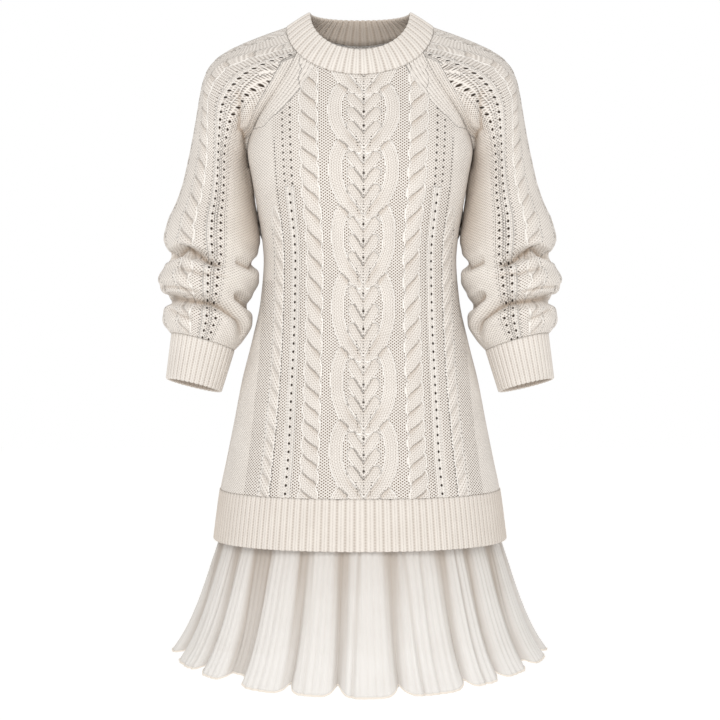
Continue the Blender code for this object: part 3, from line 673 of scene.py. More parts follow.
# %% A socket that can be added and multiplied
class Signal:
    """One output of a material's nodes."""

    def __init__(self, finish, socket):
        self.finish = finish
        self.socket = socket

    def math(self, operation, *others, clamp=False):
        """One Math node on this value and the others."""
        inputs = dict(enumerate((self, *others)))
        return self.finish.node("ShaderNodeMath", inputs, operation=operation, use_clamp=clamp)

    def __add__(self, other):
        return self.math("ADD", other)

    def __sub__(self, other):
        return self.math("SUBTRACT", other)

    def __mul__(self, other):
        return self.math("MULTIPLY", other)

    def __truediv__(self, other):
        return self.math("DIVIDE", other)

    def __pow__(self, other):
        return self.math("POWER", other)

    def __rsub__(self, other):
        return self.math("MULTIPLY", -1.0).math("ADD", other)

    __radd__ = __add__
    __rmul__ = __mul__

    def wave(self, period):
        """A cosine between -1 and 1."""
        return self.math("MULTIPLY", FULL_TURN / period).math("COSINE")

    def off_middle(self):
        """Distance from the middle of each unit: 0 in the middle, a half at its ends."""
        return (self.math("FRACT") - 0.5).math("ABSOLUTE")

    def clamped(self):
        """The value kept between 0 and 1."""
        return self.math("ADD", 0.0, clamp=True)

    def ramp(self, start, steepness):
        """0 up to a value and then rising to 1; with a negative steepness it falls to 0 there."""
        return ((self - start) * steepness).clamped()


class Finish:
    """A material under construction."""

    def __init__(self, name, **constants):
        self.material = bpy.data.materials.new(name)
        self.material.use_nodes = True
        self.tree = self.material.node_tree
        self.shader = self.tree.nodes["Principled BSDF"]
        for key, value in constants.items():
            self.shader.inputs[key.replace("_", " ")].default_value = value

    def node(self, kind, inputs, out=0, **settings):
        """Adds a node: settings first, then the values or links of its sockets."""
        node = self.tree.nodes.new(kind)
        for key, value in settings.items():
            setattr(node, key, value)
        for key, value in inputs.items():
            if isinstance(value, Signal):
                self.tree.links.new(value.socket, node.inputs[key])
            else:
                node.inputs[key].default_value = value
        return Signal(self, node.outputs[out])

    def parts(self, vector):
        """The three numbers of a vector."""
        split = self.node("ShaderNodeSeparateXYZ", {0: vector})
        return [Signal(self, socket) for socket in split.socket.node.outputs]

    def attributes(self, *names):
        """The values that the mesh carries under these names."""
        return [self.node("ShaderNodeAttribute", {}, out="Fac", attribute_name=name)
                for name in names]

    def stitch_map(self):
        """Places across and along the stitches."""
        return self.parts(self.node("ShaderNodeUVMap", {}, uv_map="stitch"))[:2]

    def noise(self, scale, detail=3.0):
        """Soft unevenness between 0 and 1, fixed to the piece."""
        place = self.node("ShaderNodeTexCoord", {}, out="Object")
        return self.node("ShaderNodeTexNoise", {"Vector": place, "Scale": scale, "Detail": detail})

    def mix(self, factor, first, second):
        """A colour between two colours."""
        return self.node("ShaderNodeMix", {0: factor, 6: first, 7: second}, out=2, data_type="RGBA")

    def finish(self, colour, height, distance):
        """Links the colour, and the height as a bump."""
        bumps = {"Height": height, "Strength": 1.0, "Distance": distance}
        normal = self.node("ShaderNodeBump", bumps)
        self.tree.links.new(colour.socket, self.shader.inputs["Base Color"])
        self.tree.links.new(normal.socket, self.shader.inputs["Normal"])
        return self.material


# %% [markdown]
# ## Ivory knit
#
# Plain stitches are columns of small V shapes.  Moss stitch is a chequer of knots with pits between
# them, and the pits get painted shade.  Both are drawn along the stitch map, which follows each
# strand of the cables, so the columns turn with the strand as real stitches do.  Eyelets are holes
# between stitches, painted with the shade of the dress's inside seen through them.

# %% Yarn
WALE = 2.45               # width of a stitch, and below its height, in millimetres
COURSE = 3.65
RIB_COURSE = 3.6
YARN_LIGHT = (0.830, 0.784, 0.730, 1.0)
# colour of the painted highlight along the edges of the strands
YARN_HIGHLIGHT = (0.930, 0.895, 0.850, 1.0)
# colour of the painted shade in hollows, creases, strand shadows and on shaded sides
YARN_DEEP_SHADE = (0.420, 0.322, 0.236, 1.0)
# colour of the painted shade between the stitches
YARN_SHADE = (0.155, 0.100, 0.062, 1.0)
# colour of the painted shade seen through the eyelets
HOLE_SHADE = (0.035, 0.022, 0.013, 1.0)
WOOL = dict(Roughness=0.88, Specular_IOR_Level=0.25, Sheen_Weight=0.12, Sheen_Roughness=0.6)


def yarn_colour(finish, shade, crease):
    """Yarn between light and painted shade, with a deeper, warmer painted shade in hollows and
    creases.
    """
    colour = finish.mix(shade.clamped(), YARN_LIGHT, YARN_SHADE)
    return finish.mix(crease.clamped(), colour, YARN_DEEP_SHADE)


# %% Knit finish
def knit_finish(name):
    """The ivory knit of the body and the sleeves."""
    finish = Finish(name, **WOOL)
    across, along = finish.stitch_map()
    eyelet = finish.node("ShaderNodeAttribute", {}, out="Vector", attribute_name="eyelet")
    hole_across, hole_along, strength = finish.parts(eyelet)
    moss, crease, edge, band = finish.attributes("moss", "crease", "edge", "band")

    knots = across.wave(2.0 * WALE) * along.wave(COURSE)
    # painted shade in the pits between the knots
    pits = ((0.0 - knots) * 2.2 - 0.35).clamped()
    stripes = 0.5 - across.wave(WALE) * 0.5

    # painted highlight on the raised edge stitches of each strand, none where it lies in painted
    # shade
    edge_highlight = edge.ramp(0.88, 16.0) * edge.ramp(1.85, -6.0) * (1.0 - crease).clamped()
    cable = edge.ramp(1.9, -8.0)
    # painted shade in the gaps between the stitch columns, on strands and on plain knit
    lines = (0.5 - across.wave(3.1) * 0.5) * (0.80 - along.wave(COURSE) * 0.20)
    yarns = lines * cable * 0.58 + stripes * (1.0 - moss) * (1.0 - cable) * 0.24

    # painted shade in the grooves of the raglan ribs
    groove = (1.0 - (across / (RAGLAN_PITCH * 1000.0)).off_middle() * 5.0).clamped()
    groove = groove * (along.wave(2.6) * 0.4 + 0.6) * band

    # eyelets: painted shade of the dress's inside, seen through each hole
    length = (hole_along.math("FRACT") - 0.5) * 5.5
    far = (hole_across * hole_across + length * length) ** 0.5
    hole = far.ramp(1.0, -3.5) * strength

    fuzz = finish.noise(1000.0, 2.0)
    tone = finish.noise(30.0, 4.0)
    # shade is the painted shade of pits, gaps and grooves, with random tone and fuzz
    shade = pits * (moss * 0.76 + 0.46) * (1.0 - cable * 0.30) * (1.0 - band * 0.7) + yarns * 0.50
    shade = shade + groove * 0.40 + (tone - 0.5) * 0.22 + (fuzz - 0.5) * 0.34
    colour = yarn_colour(finish, shade * (1.0 - edge_highlight * 0.85), crease * 0.50)
    colour = finish.mix(edge_highlight * 0.6, colour, YARN_HIGHLIGHT)
    colour = finish.mix(hole, colour, HOLE_SHADE)
    relief = knots * (moss * 0.30 + 0.40) * (1.0 - edge_highlight)
    relief = relief + fuzz * 0.30 - hole * 1.2 + edge_highlight * 0.3 - groove
    return finish.finish(colour, relief, 0.0008)


# %% [markdown]
# Rib is drawn in ribs, not in millimetres, so that its lines fall on the ribs of the mesh on every
# piece: two legs of yarn on the back of each rib, and knots in the groove between two ribs.  The
# groove and its knots get painted shade, the legs a painted highlight.

# %% Rib finish
def rib_finish(name):
    """The ivory rib of the collar, cuffs and band: one unit across is one rib."""
    finish = Finish(name, **WOOL)
    across, along = finish.stitch_map()
    crease, = finish.attributes("crease")
    side = (across + 0.5).off_middle() * 2.0
    leg = (1.0 - (side - 0.42).math("ABSOLUTE") * 3.4).clamped()
    middle = (1.0 - side * 4.5).clamped()
    groove = side.ramp(0.62, 2.8)
    beat = along.wave(RIB_COURSE) * 0.5 + 0.5
    other = (along + RIB_COURSE / 2.0).wave(RIB_COURSE) * 0.5 + 0.5
    dots = beat * groove + other * middle * 0.6
    fuzz = finish.noise(1000.0, 2.0)
    tone = finish.noise(38.0, 4.0)
    # painted shade in the grooves and between the knots, a painted highlight on the legs, and random
    # tone
    shade = groove * 0.10 + middle * 0.06 + dots * 0.27 - leg * 0.10 + 0.14
    shade = shade + (tone - 0.5) * 0.16 + (fuzz - 0.5) * 0.30
    colour = yarn_colour(finish, shade, crease * 0.54)
    return finish.finish(colour, leg * 0.5 + fuzz * 0.2 - dots * 0.5, 0.0006)


IVORY_KNIT = knit_finish("ivory knit")
IVORY_RIB = rib_finish("ivory rib")
print("finishes:", IVORY_KNIT.name, "and", IVORY_RIB.name)

# %% [markdown]
# ## Front and back
#
# A knitted panel is built row by row, as on a machine.  Its columns of stitches run straight down,
# and the raglan seam cuts them off, so each row has as many columns as fit, and a band along the
# edge whose ribs run beside the seam.

# %% One row of a panel
CHART_END = 0.148         # half width of the chart
BAND_CELLS = 26
PLAIN_CELLS = 80          # more than fit between the chart and the band
FINE = 600                # points on a line that is measured
HIP = -0.45               # level at which the stitches have their real width
BAND_FOOT = -0.150        # the raglan ribs begin here
SIDE_SHADE = 0.045        # width of the shade along each side seam
NECK_HOLE = 0.0011        # half height and pitch of the row of holes under the collar
NECK_PITCH = 0.0036


def measured_row(height, side, last):
    """Angles from the middle to the last one, their points, and the arc from the middle."""
    angle = np.linspace(math.pi / 2, last, FINE)
    points = body_point(angle, height, side)
    return angle, points, arc_length(points)


def half_row(height, side, cell, reference):
    """One row from the middle to its edge: angles, keys, stitches across and edge distance."""
    fine, points, arc = measured_row(height, side, float(raglan_angle(height, side)))
    chart = points[:, 0] / column_spread(points[:, 2])
    columns = np.arange(0.0, CHART_END, cell)
    columns = columns[columns < chart[-1]]
    count = len(columns)
    at = np.interp(columns, chart, arc)
    plain = np.arange(1, PLAIN_CELLS) * cell + at[-1]
    keys = np.concatenate([np.arange(count), 1000 + np.arange(len(plain))])
    stitches = np.concatenate([reference[:count], reference[count - 1] + plain - at[-1]])
    at = np.concatenate([at, plain])
    kept = at < arc[-1] - BODY_BAND - 0.6 * cell
    cells = np.arange(BAND_CELLS + 1)
    band = arc[-1] - BODY_BAND * (1.0 - cells / BAND_CELLS)
    stitches = np.concatenate([stitches[kept], stitches[kept][-1] - at[kept][-1] + band])
    at = np.concatenate([at[kept], band])
    keys = np.concatenate([keys[kept], 5000 + cells])
    return np.interp(at, arc, fine), keys, stitches, arc[-1] - at


def whole_row(height, side, cell, reference):
    """The half row and its mirror image, in the order that turns the panel's outside outwards."""
    angle, keys, stitches, edge = half_row(height, side, cell, reference)
    halves = ((math.pi - angle, angle), (side * keys, -side * keys),
              (stitches, stitches), (edge, edge))
    return [np.concatenate([other[:0:-1], half])[::-side] for other, half in halves]


def panel_normal(angle, height, side):
    """Outward normals of a body panel."""
    inside = np.clip(angle, 0.002, math.pi - 0.002)
    turned = outward(lambda a, h: body_point(a, h, side), inside, height)
    return turned * np.sign(np.sum(turned * (0.0, side, 0.0), axis=-1, keepdims=True) + 1e-12)


# %% [markdown]
# The relief is real geometry, because cables catch light from the side and show at the outline.  A
# coarser inner face closes the wall.

# %% Relief of a panel
def knit_row(x, z, stitches, edge, shift):
    """What the chart says of one row of a panel, with the ribs and holes of its raglan seam."""
    found, chart = chart_of(x, z, stitches, shift)
    beside = [chart_of(x + BESIDE * dx, z + BESIDE * dz, stitches, shift)[0] for dx, dz in AROUND]
    above = smooth((z - BAND_FOOT) / 0.03)
    band = smooth((BODY_BAND + 0.001 - edge) / 0.002) * above
    fade = smooth((edge - 0.002) / 0.010) * (1.0 - band)
    # painted shade in the hollows of the knit and under the strands that cover them
    found["crease"] = hollow_shade(found, [near["height"] for near in beside]) * fade
    found["eyelet"] = eyelets_of(chart, z)
    found["height"] = found["height"] * fade + raglan_ribs(edge, BODY_BAND_PITCH) * band
    found["band"] = band
    lay_band(found, band > 0.5, edge < SEAM_REACH, edge * RAGLAN_PITCH / BODY_BAND_PITCH,
             found["along"], (edge / SEAM_HOLE, -z / 0.0042, 0.45 * above))
    # painted shade along each side seam, where the body turns away from the light
    side_shade = 0.40 * smooth((SIDE_SHADE - edge) / SIDE_SHADE)
    found["crease"] = found["crease"] + side_shade * (1.0 - above)
    return found


def make_panel(name, side, cell, row_step):
    """A front or back panel with its relief."""
    wall = Wall()
    count = int(round(-BODY_HEM / row_step))
    heights = np.linspace(BODY_HEM, 0.0, count + 1)
    _, points, arc = measured_row(HIP, side, 0.0)
    chart = points[:, 0] / column_spread(HIP)
    reference = np.interp(np.arange(0.0, CHART_END + cell, cell), chart, arc)
    columns, outer, inner = [], [], []
    for j, height in enumerate(heights):
        angle, keys, stitches, edge = whole_row(height, side, cell, reference)
        flat = body_point(angle, height, side)
        normal = panel_normal(angle, height, side)
        found = knit_row(flat[:, 0], flat[:, 2], stitches, edge, CHART_SHIFT if side < 0 else 0.0)
        lift = found["height"] * smooth((count - j) / 1.8)
        if j > count - 3:
            seam = np.full_like(edge, np.abs(count - 1.0 - j) * row_step / NECK_HOLE)
            holes = (seam, stitches / NECK_PITCH, np.full_like(edge, 0.5))
            found["eyelet"] = np.stack(holes, axis=-1)
        numbers = add_knit(wall, flat + normal * lift[:, None], found)
        columns.append((keys, numbers))
        outer.append((side * angle, numbers))
    for lower, upper in zip(columns, columns[1:]):
        wall.zip_rows(lower, upper)
    kept = sorted({*range(0, count + 1, 8), count})
    for height in heights[kept]:
        seam = float(raglan_angle(height, side))
        angle = np.linspace(math.pi - seam, seam, 61)[::-side]
        flat = body_point(angle, height, side) - KNIT * panel_normal(angle, height, side)
        inner.append((side * angle, wall.add(flat, stitch=flat[:, ::2] * 1000.0)))
    wall.grid([numbers for _, numbers in inner], flip=True)
    wall.zip_rows(inner[0], outer[0])
    wall.zip_rows(outer[-1], inner[-1])
    for end, flip in ((0, False), (-1, True)):
        sides = [(kept, [numbers[end] for _, numbers in inner]),
                 (range(count + 1), [numbers[end] for _, numbers in outer])]
        wall.zip_rows(*(sides[::-1] if flip else sides), flip=True)
    return wall.make(name, IVORY_KNIT)


# %% Front and back panels
front = make_panel("cabled_front", -1, 0.0015, 0.00165)
declare(front, "front")
back = make_panel("cabled_back", 1, 0.0022, 0.0023)
declare(back, "back")

# %% [markdown]
# ## Sleeves
#
# A raglan sleeve is a tube whose top follows the raglan seams and the neck.  It is pushed up, so
# the cloth gathers above the cuff in soft rolls with sharp creases between them.  The rolls are in
# the rings of the arm, and each crease is a line drawn on the sleeve into which the cloth sinks.

# %% Sizes of the sleeves
# outer x, outer z, inner x, inner z, middle y, half depth; one row for each level down the arm
SLEEVE = (
    (0.2245, -0.1720, 0.1436, -0.1820, 0.018, 0.055),
    (0.2305, -0.2000, 0.1398, -0.2050, 0.014, 0.056),
    (0.2390, -0.2270, 0.1362, -0.2280, 0.008, 0.057),
    (0.2495, -0.2520, 0.1328, -0.2520, 0.001, 0.058),
    (0.2540, -0.2760, 0.1295, -0.2770, -0.006, 0.059),
    (0.2435, -0.2980, 0.1360, -0.3040, -0.010, 0.055),
    (0.2605, -0.3280, 0.1305, -0.3290, -0.013, 0.061),
    (0.2470, -0.3550, 0.1440, -0.3580, -0.015, 0.055),
    (0.2545, -0.3790, 0.1390, -0.3830, -0.017, 0.056),
    (0.2500, -0.3900, 0.1500, -0.4050, -0.018, 0.048),
    (0.2425, -0.3980, 0.1630, -0.4200, -0.019, 0.0400),
)
CUFF_END = (0.2490, -0.4560, 0.1790, -0.4725, -0.027, 0.0345)
FOREARM_TILT = math.radians(7)
CORNER_TURN = math.radians(92)
RAGLAN_CURVE = 0.6
# turn round the arm (degrees), direction in which the cloth leaves the armhole, reach
ARMHOLE = (
    (0, 0.30, 0.00, -0.95, 1.00),
    (35, 0.72, -0.28, -0.62, 1.10),
    (92, 0.86, -0.34, -0.38, 1.30),
    (135, 0.91, -0.22, -0.37, 1.67),
    (180, 0.95, 0.00, -0.33, 1.95),
    (225, 0.91, 0.22, -0.35, 1.67),
    (268, 0.86, 0.36, -0.34, 1.30),
    (325, 0.72, 0.32, -0.60, 1.10),
    (360, 0.30, 0.00, -0.95, 1.00),
)
SLEEVE_LEVELS = [(i, *row) for i, row in enumerate(SLEEVE)]
sleeve_sizes = [curve(SLEEVE_LEVELS, column) for column in range(1, 7)]
*armhole_direction, armhole_reach = [curve(ARMHOLE, column) for column in range(1, 5)]
LAST_LEVEL = len(SLEEVE) - 1
print("levels of the sleeve:", len(SLEEVE), "places of the armhole:", len(ARMHOLE))

# %% [markdown]
# A simple tube would cut into the body.  The cap therefore starts on the armhole itself, leaves it
# in the direction that the table gives, and bends into the first ring of the arm.

# %% Rings and armhole
def turned_ring(outer_x, outer_z, inner_x, inner_z, mid_y, depth, tilt, turn):
    """Points of a ring round the arm: turn 0 faces the body, a quarter turn faces the front."""
    share = (1.0 - np.cos(turn)) / 2.0
    forward = depth * np.sin(turn)
    z = between(share, inner_z, outer_z) + forward * np.tan(tilt)
    return np.stack([between(share, inner_x, outer_x), mid_y - forward, z], axis=-1)


def arm_ring(turn, level):
    """Ring of the sleeve at a level of its table."""
    sizes = [size(level) for size in sleeve_sizes]
    return turned_ring(*sizes, FOREARM_TILT * smooth(level / LAST_LEVEL), turn)


def raglan_height(turn):
    """Height of the raglan seam at a turn, where the columns crowd to the neck corner."""
    share = np.clip(turn / CORNER_TURN, 0.0, 1.0)
    root = np.sqrt((1.0 + RAGLAN_CURVE) ** 2 - 4.0 * RAGLAN_CURVE * share)
    return UNDERARM * (1.0 - (1.0 + RAGLAN_CURVE - root) / (2.0 * RAGLAN_CURVE))


def armhole_point(turn):
    """Point of the armhole loop: up the front raglan, over the neck edge, down the back raglan."""
    turn = np.mod(turn, FULL_TURN)
    low_front, low_back = raglan_height(turn), raglan_height(FULL_TURN - turn)
    front = body_point(raglan_angle(low_front, -1), low_front, -1)
    back = body_point(raglan_angle(low_back, 1), low_back, 1)
    share = np.clip((turn - CORNER_TURN) / (FULL_TURN - 2.0 * CORNER_TURN), 0.0, 1.0)
    theta = FRONT_NECK_ANGLE - share * (FRONT_NECK_ANGLE + BACK_NECK_ANGLE)
    neck_front, neck_back = (body_point(np.abs(theta), 0.0 * theta, side) for side in (-1, 1))
    neck = np.where((theta >= 0.0)[..., None], neck_front, neck_back)
    on_front = (turn < CORNER_TURN)[..., None]
    on_back = (turn > FULL_TURN - CORNER_TURN)[..., None]
    return np.where(on_front, front, np.where(on_back, back, neck))


# %% Surface of a sleeve
def cap_point(turn, share):
    """Sleeve between the armhole (share 0) and the first ring of the arm (share 1)."""
    degrees = np.degrees(np.mod(turn, FULL_TURN))
    direction = unit(np.stack([part(degrees) for part in armhole_direction], axis=-1))
    start = armhole_point(turn) + GAP * 1.5 * direction
    zero = np.zeros_like(turn)
    end = arm_ring(turn, zero)
    reach = (np.linalg.norm(end - start, axis=-1) * armhole_reach(degrees))[..., None]
    downward = unit(arm_ring(turn, zero + 0.2) - end)
    return hermite(share[..., None], start, direction * reach, end, downward * reach)


def sleeve_point(turn, down):
    """Smooth sleeve: down -1 is the armhole, 0 the first ring, LAST_LEVEL the cuff seam."""
    cap = cap_point(turn, np.clip(down + 1.0, 0.0, 1.0))
    arm = arm_ring(turn, np.maximum(down, 0.0))
    return np.where((down < 0.0)[..., None], cap, arm)


def sleeve_normal(turn, down):
    """Outward normals of the smooth sleeve."""
    return outward(lambda t, minus: sleeve_point(t, -minus), turn,
                   np.clip(-down, -LAST_LEVEL + 0.001, 0.999), 5e-4)


# %% [markdown]
# ### Creases
#
# Each crease is given by a few places on the sleeve: the turn round the arm, where 90 faces the
# front and 180 lies outside, and the level down the arm.  Its depth tapers to nothing at the ends,
# and the cloth beside it swells a little, as it does in a real fold.

# %% Creases of the pushed-up sleeve
# depth, half width, then the line
SLEEVE_CREASES = (
    (0.0110, 0.0085, ((166, 5.05), (158, 5.1), (128, 4.75), (99, 5.15), (83, 5.4), (72, 5.5))),
    (0.0040, 0.0080, ((130, 5.5), (124, 5.65), (105, 5.8), (96, 5.95), (81, 5.95), (60, 6.1))),
    (0.0120, 0.0095, ((196, 6.9), (182, 6.95), (150, 7.0), (119, 7.15), (93, 7.25), (79, 7.3),
                      (66, 7.45), (50, 7.8), (30, 8.55), (16, 8.9))),
    (0.0045, 0.0075, ((166, 6.4), (156, 6.45), (129, 6.55), (110, 6.7), (98, 6.8))),
    (0.0075, 0.0085, ((48, 6.85), (38, 6.9), (22, 7.1), (-20, 7.2))),
    (0.0065, 0.0085, ((54, 5.2), (47, 5.25), (23, 5.4), (4, 5.1), (-28, 5.0))),
    (0.0040, 0.0070, ((150, 7.55), (141, 7.6), (128, 7.85), (114, 8.25), (105, 8.4))),
    (0.0070, 0.0110, ((0, 1.8), (0, 0.6), (0, -0.2))),
    (0.0060, 0.0090, ((5, -0.9), (30, -0.6), (60, -0.42), (67, -0.45), (89, -0.5), (98, -0.5))),
    (0.0090, 0.0100, ((196, 6.9), (235, 7.0), (260, 7.1), (285, 7.0), (310, 7.3))),
    (0.0070, 0.0095, ((170, 5.0), (215, 5.2), (245, 5.0), (270, 4.8))),
    (0.0060, 0.0100, ((330, 6.1), (300, 6.0), (262, 5.8), (240, 5.9))),
    (0.0055, 0.0090, ((300, 8.2), (270, 8.4), (240, 8.7), (215, 8.6))),
    (0.0060, 0.0100, ((345, 4.4), (320, 4.2), (285, 3.9), (265, 4.0))),
    (0.0060, 0.0090, ((355, -0.9), (330, -0.6), (300, -0.45), (280, -0.45))),
)
# the cores of the creases are painted with shade, fully from this depth on
DEEPEST = 0.009           # from this depth on a crease has a fully dark core


def from_line(points, path):
    """Distance of points from a line through a path, and how far along it they lie (0 to 1)."""
    nearest = np.full(len(points), 9.0)
    along = np.zeros(len(points))
    for k, (a, b) in enumerate(zip(path, path[1:])):
        share = np.clip((points - a) @ (b - a) / max((b - a) @ (b - a), 1e-12), 0.0, 1.0)
        distance = np.linalg.norm(points - a - share[:, None] * (b - a), axis=1)
        closer = distance < nearest
        nearest = np.where(closer, distance, nearest)
        along = np.where(closer, (k + share) / (len(path) - 1), along)
    return nearest, along


def crease_depth(points):
    """How far creases sink here, how far the cloth swells beside them, and the painted shade of
    their cores.
    """
    sink = swell = core_shade = np.zeros(len(points))
    for deep, half, line in SLEEVE_CREASES:
        at = np.linspace(0.0, len(line) - 1.0, 6 * len(line))
        turn, down = (np.interp(at, np.arange(len(line)), values) for values in zip(*line))
        nearest, along = from_line(points, sleeve_point(np.radians(turn), down))
        taper = np.clip(4.0 * along * (1.0 - along), 0.0, 1.0) ** 0.5
        here = 1.25 * deep * taper
        beside = np.clip(1.0 - np.abs(nearest - 1.5 * half) / half, 0.0, 1.0)
        dark = taper * min(1.0, deep / DEEPEST)
        sink = np.maximum(sink, here * np.clip(1.0 - nearest / (1.15 * half), 0.0, 1.0) ** 1.5)
        swell = np.maximum(swell, 0.22 * here * smooth(beside))
        # painted shade along the middle of the creases, strongest in the deepest ones
        core_shade = np.maximum(core_shade, dark * smooth(1.0 - nearest / (0.42 * half)))
    return sink, swell, core_shade


# %% [markdown]
# ### Stitches of the sleeve
#
# The sleeve has the same family of cables as the body: a V braid down its outside, a rope and two
# ladders of eyelets on its front, and the same again behind.  Pushing the sleeve up has twisted the
# columns, so a table says at which turn each of them lies at each level.

# %% Sizes of the sleeve's chart
MM_PER_TURN = 0.96
DEGREE = MM_PER_TURN / 1000.0     # width of one degree of the chart, in metres
# the columns whose turns the table below gives: front ladder, back ladder, rope
TWISTED = (76.0, 87.0, 118.0)
# level, then the turns at which these columns lie there
SLEEVE_TWIST = (
    (-1.00, 75.0, 92.0, 120.0),
    (-0.60, 83.0, 109.0, 155.0),
    (-0.40, 82.0, 106.0, 155.0),
    (-0.15, 77.0, 91.0, 128.0),
    (0.00, 76.0, 87.0, 118.0),
    (20.0, 76.0, 87.0, 118.0),
)
# column, half width and pitch of the holes, strength
SLEEVE_LADDERS = (
    (68.5, 0.0008, 0.0075, 0.45),
    (76.0, 0.0018, 0.0104, 1.00),
    (87.0, 0.0018, 0.0104, 1.00),
    (81.5, 0.0009, 0.0052, 0.55),
    (95.5, 0.0010, 0.0062, 0.60),
    (130.0, 0.0010, 0.0052, 0.60),
    (158.5, 0.0010, 0.0052, 0.60),
    (180.0, 0.0011, 0.0038, 0.70),
)
# first and last column of each field of moss stitch
SLEEVE_MOSS = ((73.5, 89.5), (92.0, 107.0))
SLEEVE_MOSS_AMOUNT = 0.36
SLEEVE_ROPE = (118.5 * DEGREE, 0.0100, 0.0021, 1.0, -1.0)
SMOOTH_TURN = 91.0        # a smooth column beside the second ladder
BRAID_PITCH = 0.021
BRAID_SPAN = 0.0195
BRAID_HALF = 0.0062
CHART_START = 0.6         # the chart is read from here up, so that it ends well at the cuff
twist = [curve(SLEEVE_TWIST, column) for column in (1, 2, 3)]


# %% Chart of the sleeve
def folded_turn(degrees):
    """The same place on the front half of the sleeve."""
    return np.where(degrees > 180.0, 360.0 - degrees, degrees)


def sleeve_column(turn, down):
    """The knit column, in degrees, that passes a turn (0 to 360) at a level."""
    degrees = np.degrees(turn)
    folded = folded_turn(degrees)
    turns = [0.0, *(at(down) for at in twist), 180.0]
    columns = (0.0, *TWISTED, 180.0)
    column = np.zeros_like(degrees)
    for k in range(4):
        share = (folded - turns[k]) / (turns[k + 1] - turns[k])
        column = np.where(folded >= turns[k], between(share, columns[k], columns[k + 1]), column)
    return np.where(degrees > 180.0, 360.0 - column, column)


def sleeve_chart(column, down):
    """Height, stitch directions and moss of the sleeve at these columns and lengths."""
    place = folded_turn(column)
    found = bare_ground(column * DEGREE, down)
    ground = (place < 75.0) & (place > 69.0 - 13.0 * smooth((0.40 - down) / 0.08))
    for first, last in SLEEVE_MOSS:
        ground |= (place > first) & (place < last)
    found["moss"] = SLEEVE_MOSS_AMOUNT * ground
    rope(found, place * DEGREE, down / ROPE_PITCH, -down, SLEEVE_ROPE)
    away = np.abs(180.0 - place) * DEGREE
    for lap in (0.0, 1.0):
        rise = (1.0 - (down / BRAID_PITCH) % 1.0) + lap - 0.05
        slope = (away - BRAID_SPAN * rise / 1.15) * 0.78
        lay_column(found, slope, BRAID_HALF, 0.0007, away * 0.6 + down * 0.8,
                   (away < 0.0200) & (rise > -0.1), 0.5 * smooth((rise - 0.6) / 0.5))
    lay_column(found, (place - SMOOTH_TURN) * DEGREE, 0.0020, 0.0005, down)
    return found


def sleeve_eyelets(column, down):
    """The ladders of the sleeve."""
    place = folded_turn(column)
    return np.stack(nearest_holes([((place - at) * DEGREE, half, pitch, strength, True)
                                   for at, half, pitch, strength in SLEEVE_LADDERS], down), axis=-1)


# %% [markdown]
# The raglan ribs of the sleeve run beside the seam, so they are measured from it, point by point.
# Then the chart, the seam and the creases are put together, ring by ring.

# %% Raglan seam of the sleeve
SEAM_FINE = 721


def seam_distance(points):
    """Distance of each point from the armhole seam, and the place along it, in metres."""
    loop = armhole_point(np.linspace(0.0, FULL_TURN, SEAM_FINE))
    gap = np.linalg.norm(points[:, None] - loop[None], axis=2)
    return gap.min(axis=1), arc_length(loop)[gap.argmin(axis=1)]


def raglan_share(turn):
    """1 where a turn lies on a raglan seam, 0 at the underarm and on the neck."""
    return smooth((turn - 0.22) / 0.25) * smooth((CORNER_TURN + 0.02 - turn) / 0.05)


def lay_sleeve_band(found, flat, turns):
    """The raglan ribs of the sleeve, near its armhole."""
    edge, place = seam_distance(flat)
    raglan = raglan_share(turns) + raglan_share(FULL_TURN - turns)
    band = smooth((RAGLAN_BAND - edge) / 0.002) * raglan
    found["height"] = (found["height"] * (1.0 - band) * smooth((edge - 0.001) / 0.008)
                       + raglan_ribs(edge, RAGLAN_PITCH) * band)
    lay_band(found, band > 0.5, (edge < SEAM_REACH) & (raglan > 0.2), edge, place,
             (edge / SEAM_HOLE, place / 0.0046, 0.35 * raglan))
    found["band"] = 1.0 * (band > 0.5)


# %% Wall of a sleeve
TRACK = 500               # points on a line down the sleeve
CAP_END = -0.5            # above this level the cap feels the armhole's seam


def crease_fade(down):
    """Creases and cables run out at the armhole and at the cuff."""
    return smooth((down + 1.0) / 0.10) * smooth((LAST_LEVEL - down) / 0.35)


def sleeve_row(turns, down, to_cuff):
    """What the chart says of one ring of the sleeve, and how far its points stand out."""
    level = np.full(len(turns), down)
    flat = sleeve_point(turns, level)
    column = sleeve_column(turns, level)
    length = -to_cuff + CHART_START
    found = sleeve_chart(column, length)
    beside = [sleeve_chart(column + BESIDE * 1000.0 * dc, length + BESIDE * dv)
              for dc, dv in AROUND]
    found["crease"] = hollow_shade(found, [near["height"] for near in beside])
    found["eyelet"] = sleeve_eyelets(column, length)
    found["band"] = 0.0
    if down < CAP_END:
        lay_sleeve_band(found, flat, turns)
    sink, swell, core_shade = crease_depth(flat)
    lift = found["height"] * (1.0 - 0.5 * smooth(sink / 0.008)) + swell - sink
    # the side that faces the body lies in its shade, down to the elbow
    inside = smooth((84.0 - folded_turn(np.degrees(turns))) / 64.0)
    inside = inside * smooth((down + 1.0) / 0.35) * smooth((5.5 - down) / 2.0)
    # painted shade: hollows of the knit, the creases and their cores, and the side that faces the
    # body
    crease = (found["crease"] * smooth((down + 1.0) / 0.12) + smooth(sink / 0.012) * 0.25
              + core_shade * 1.30 + inside)
    found["crease"] = np.clip(crease, 0.0, 2.0)
    return flat + sleeve_normal(turns, level) * (lift * crease_fade(down))[:, None], found


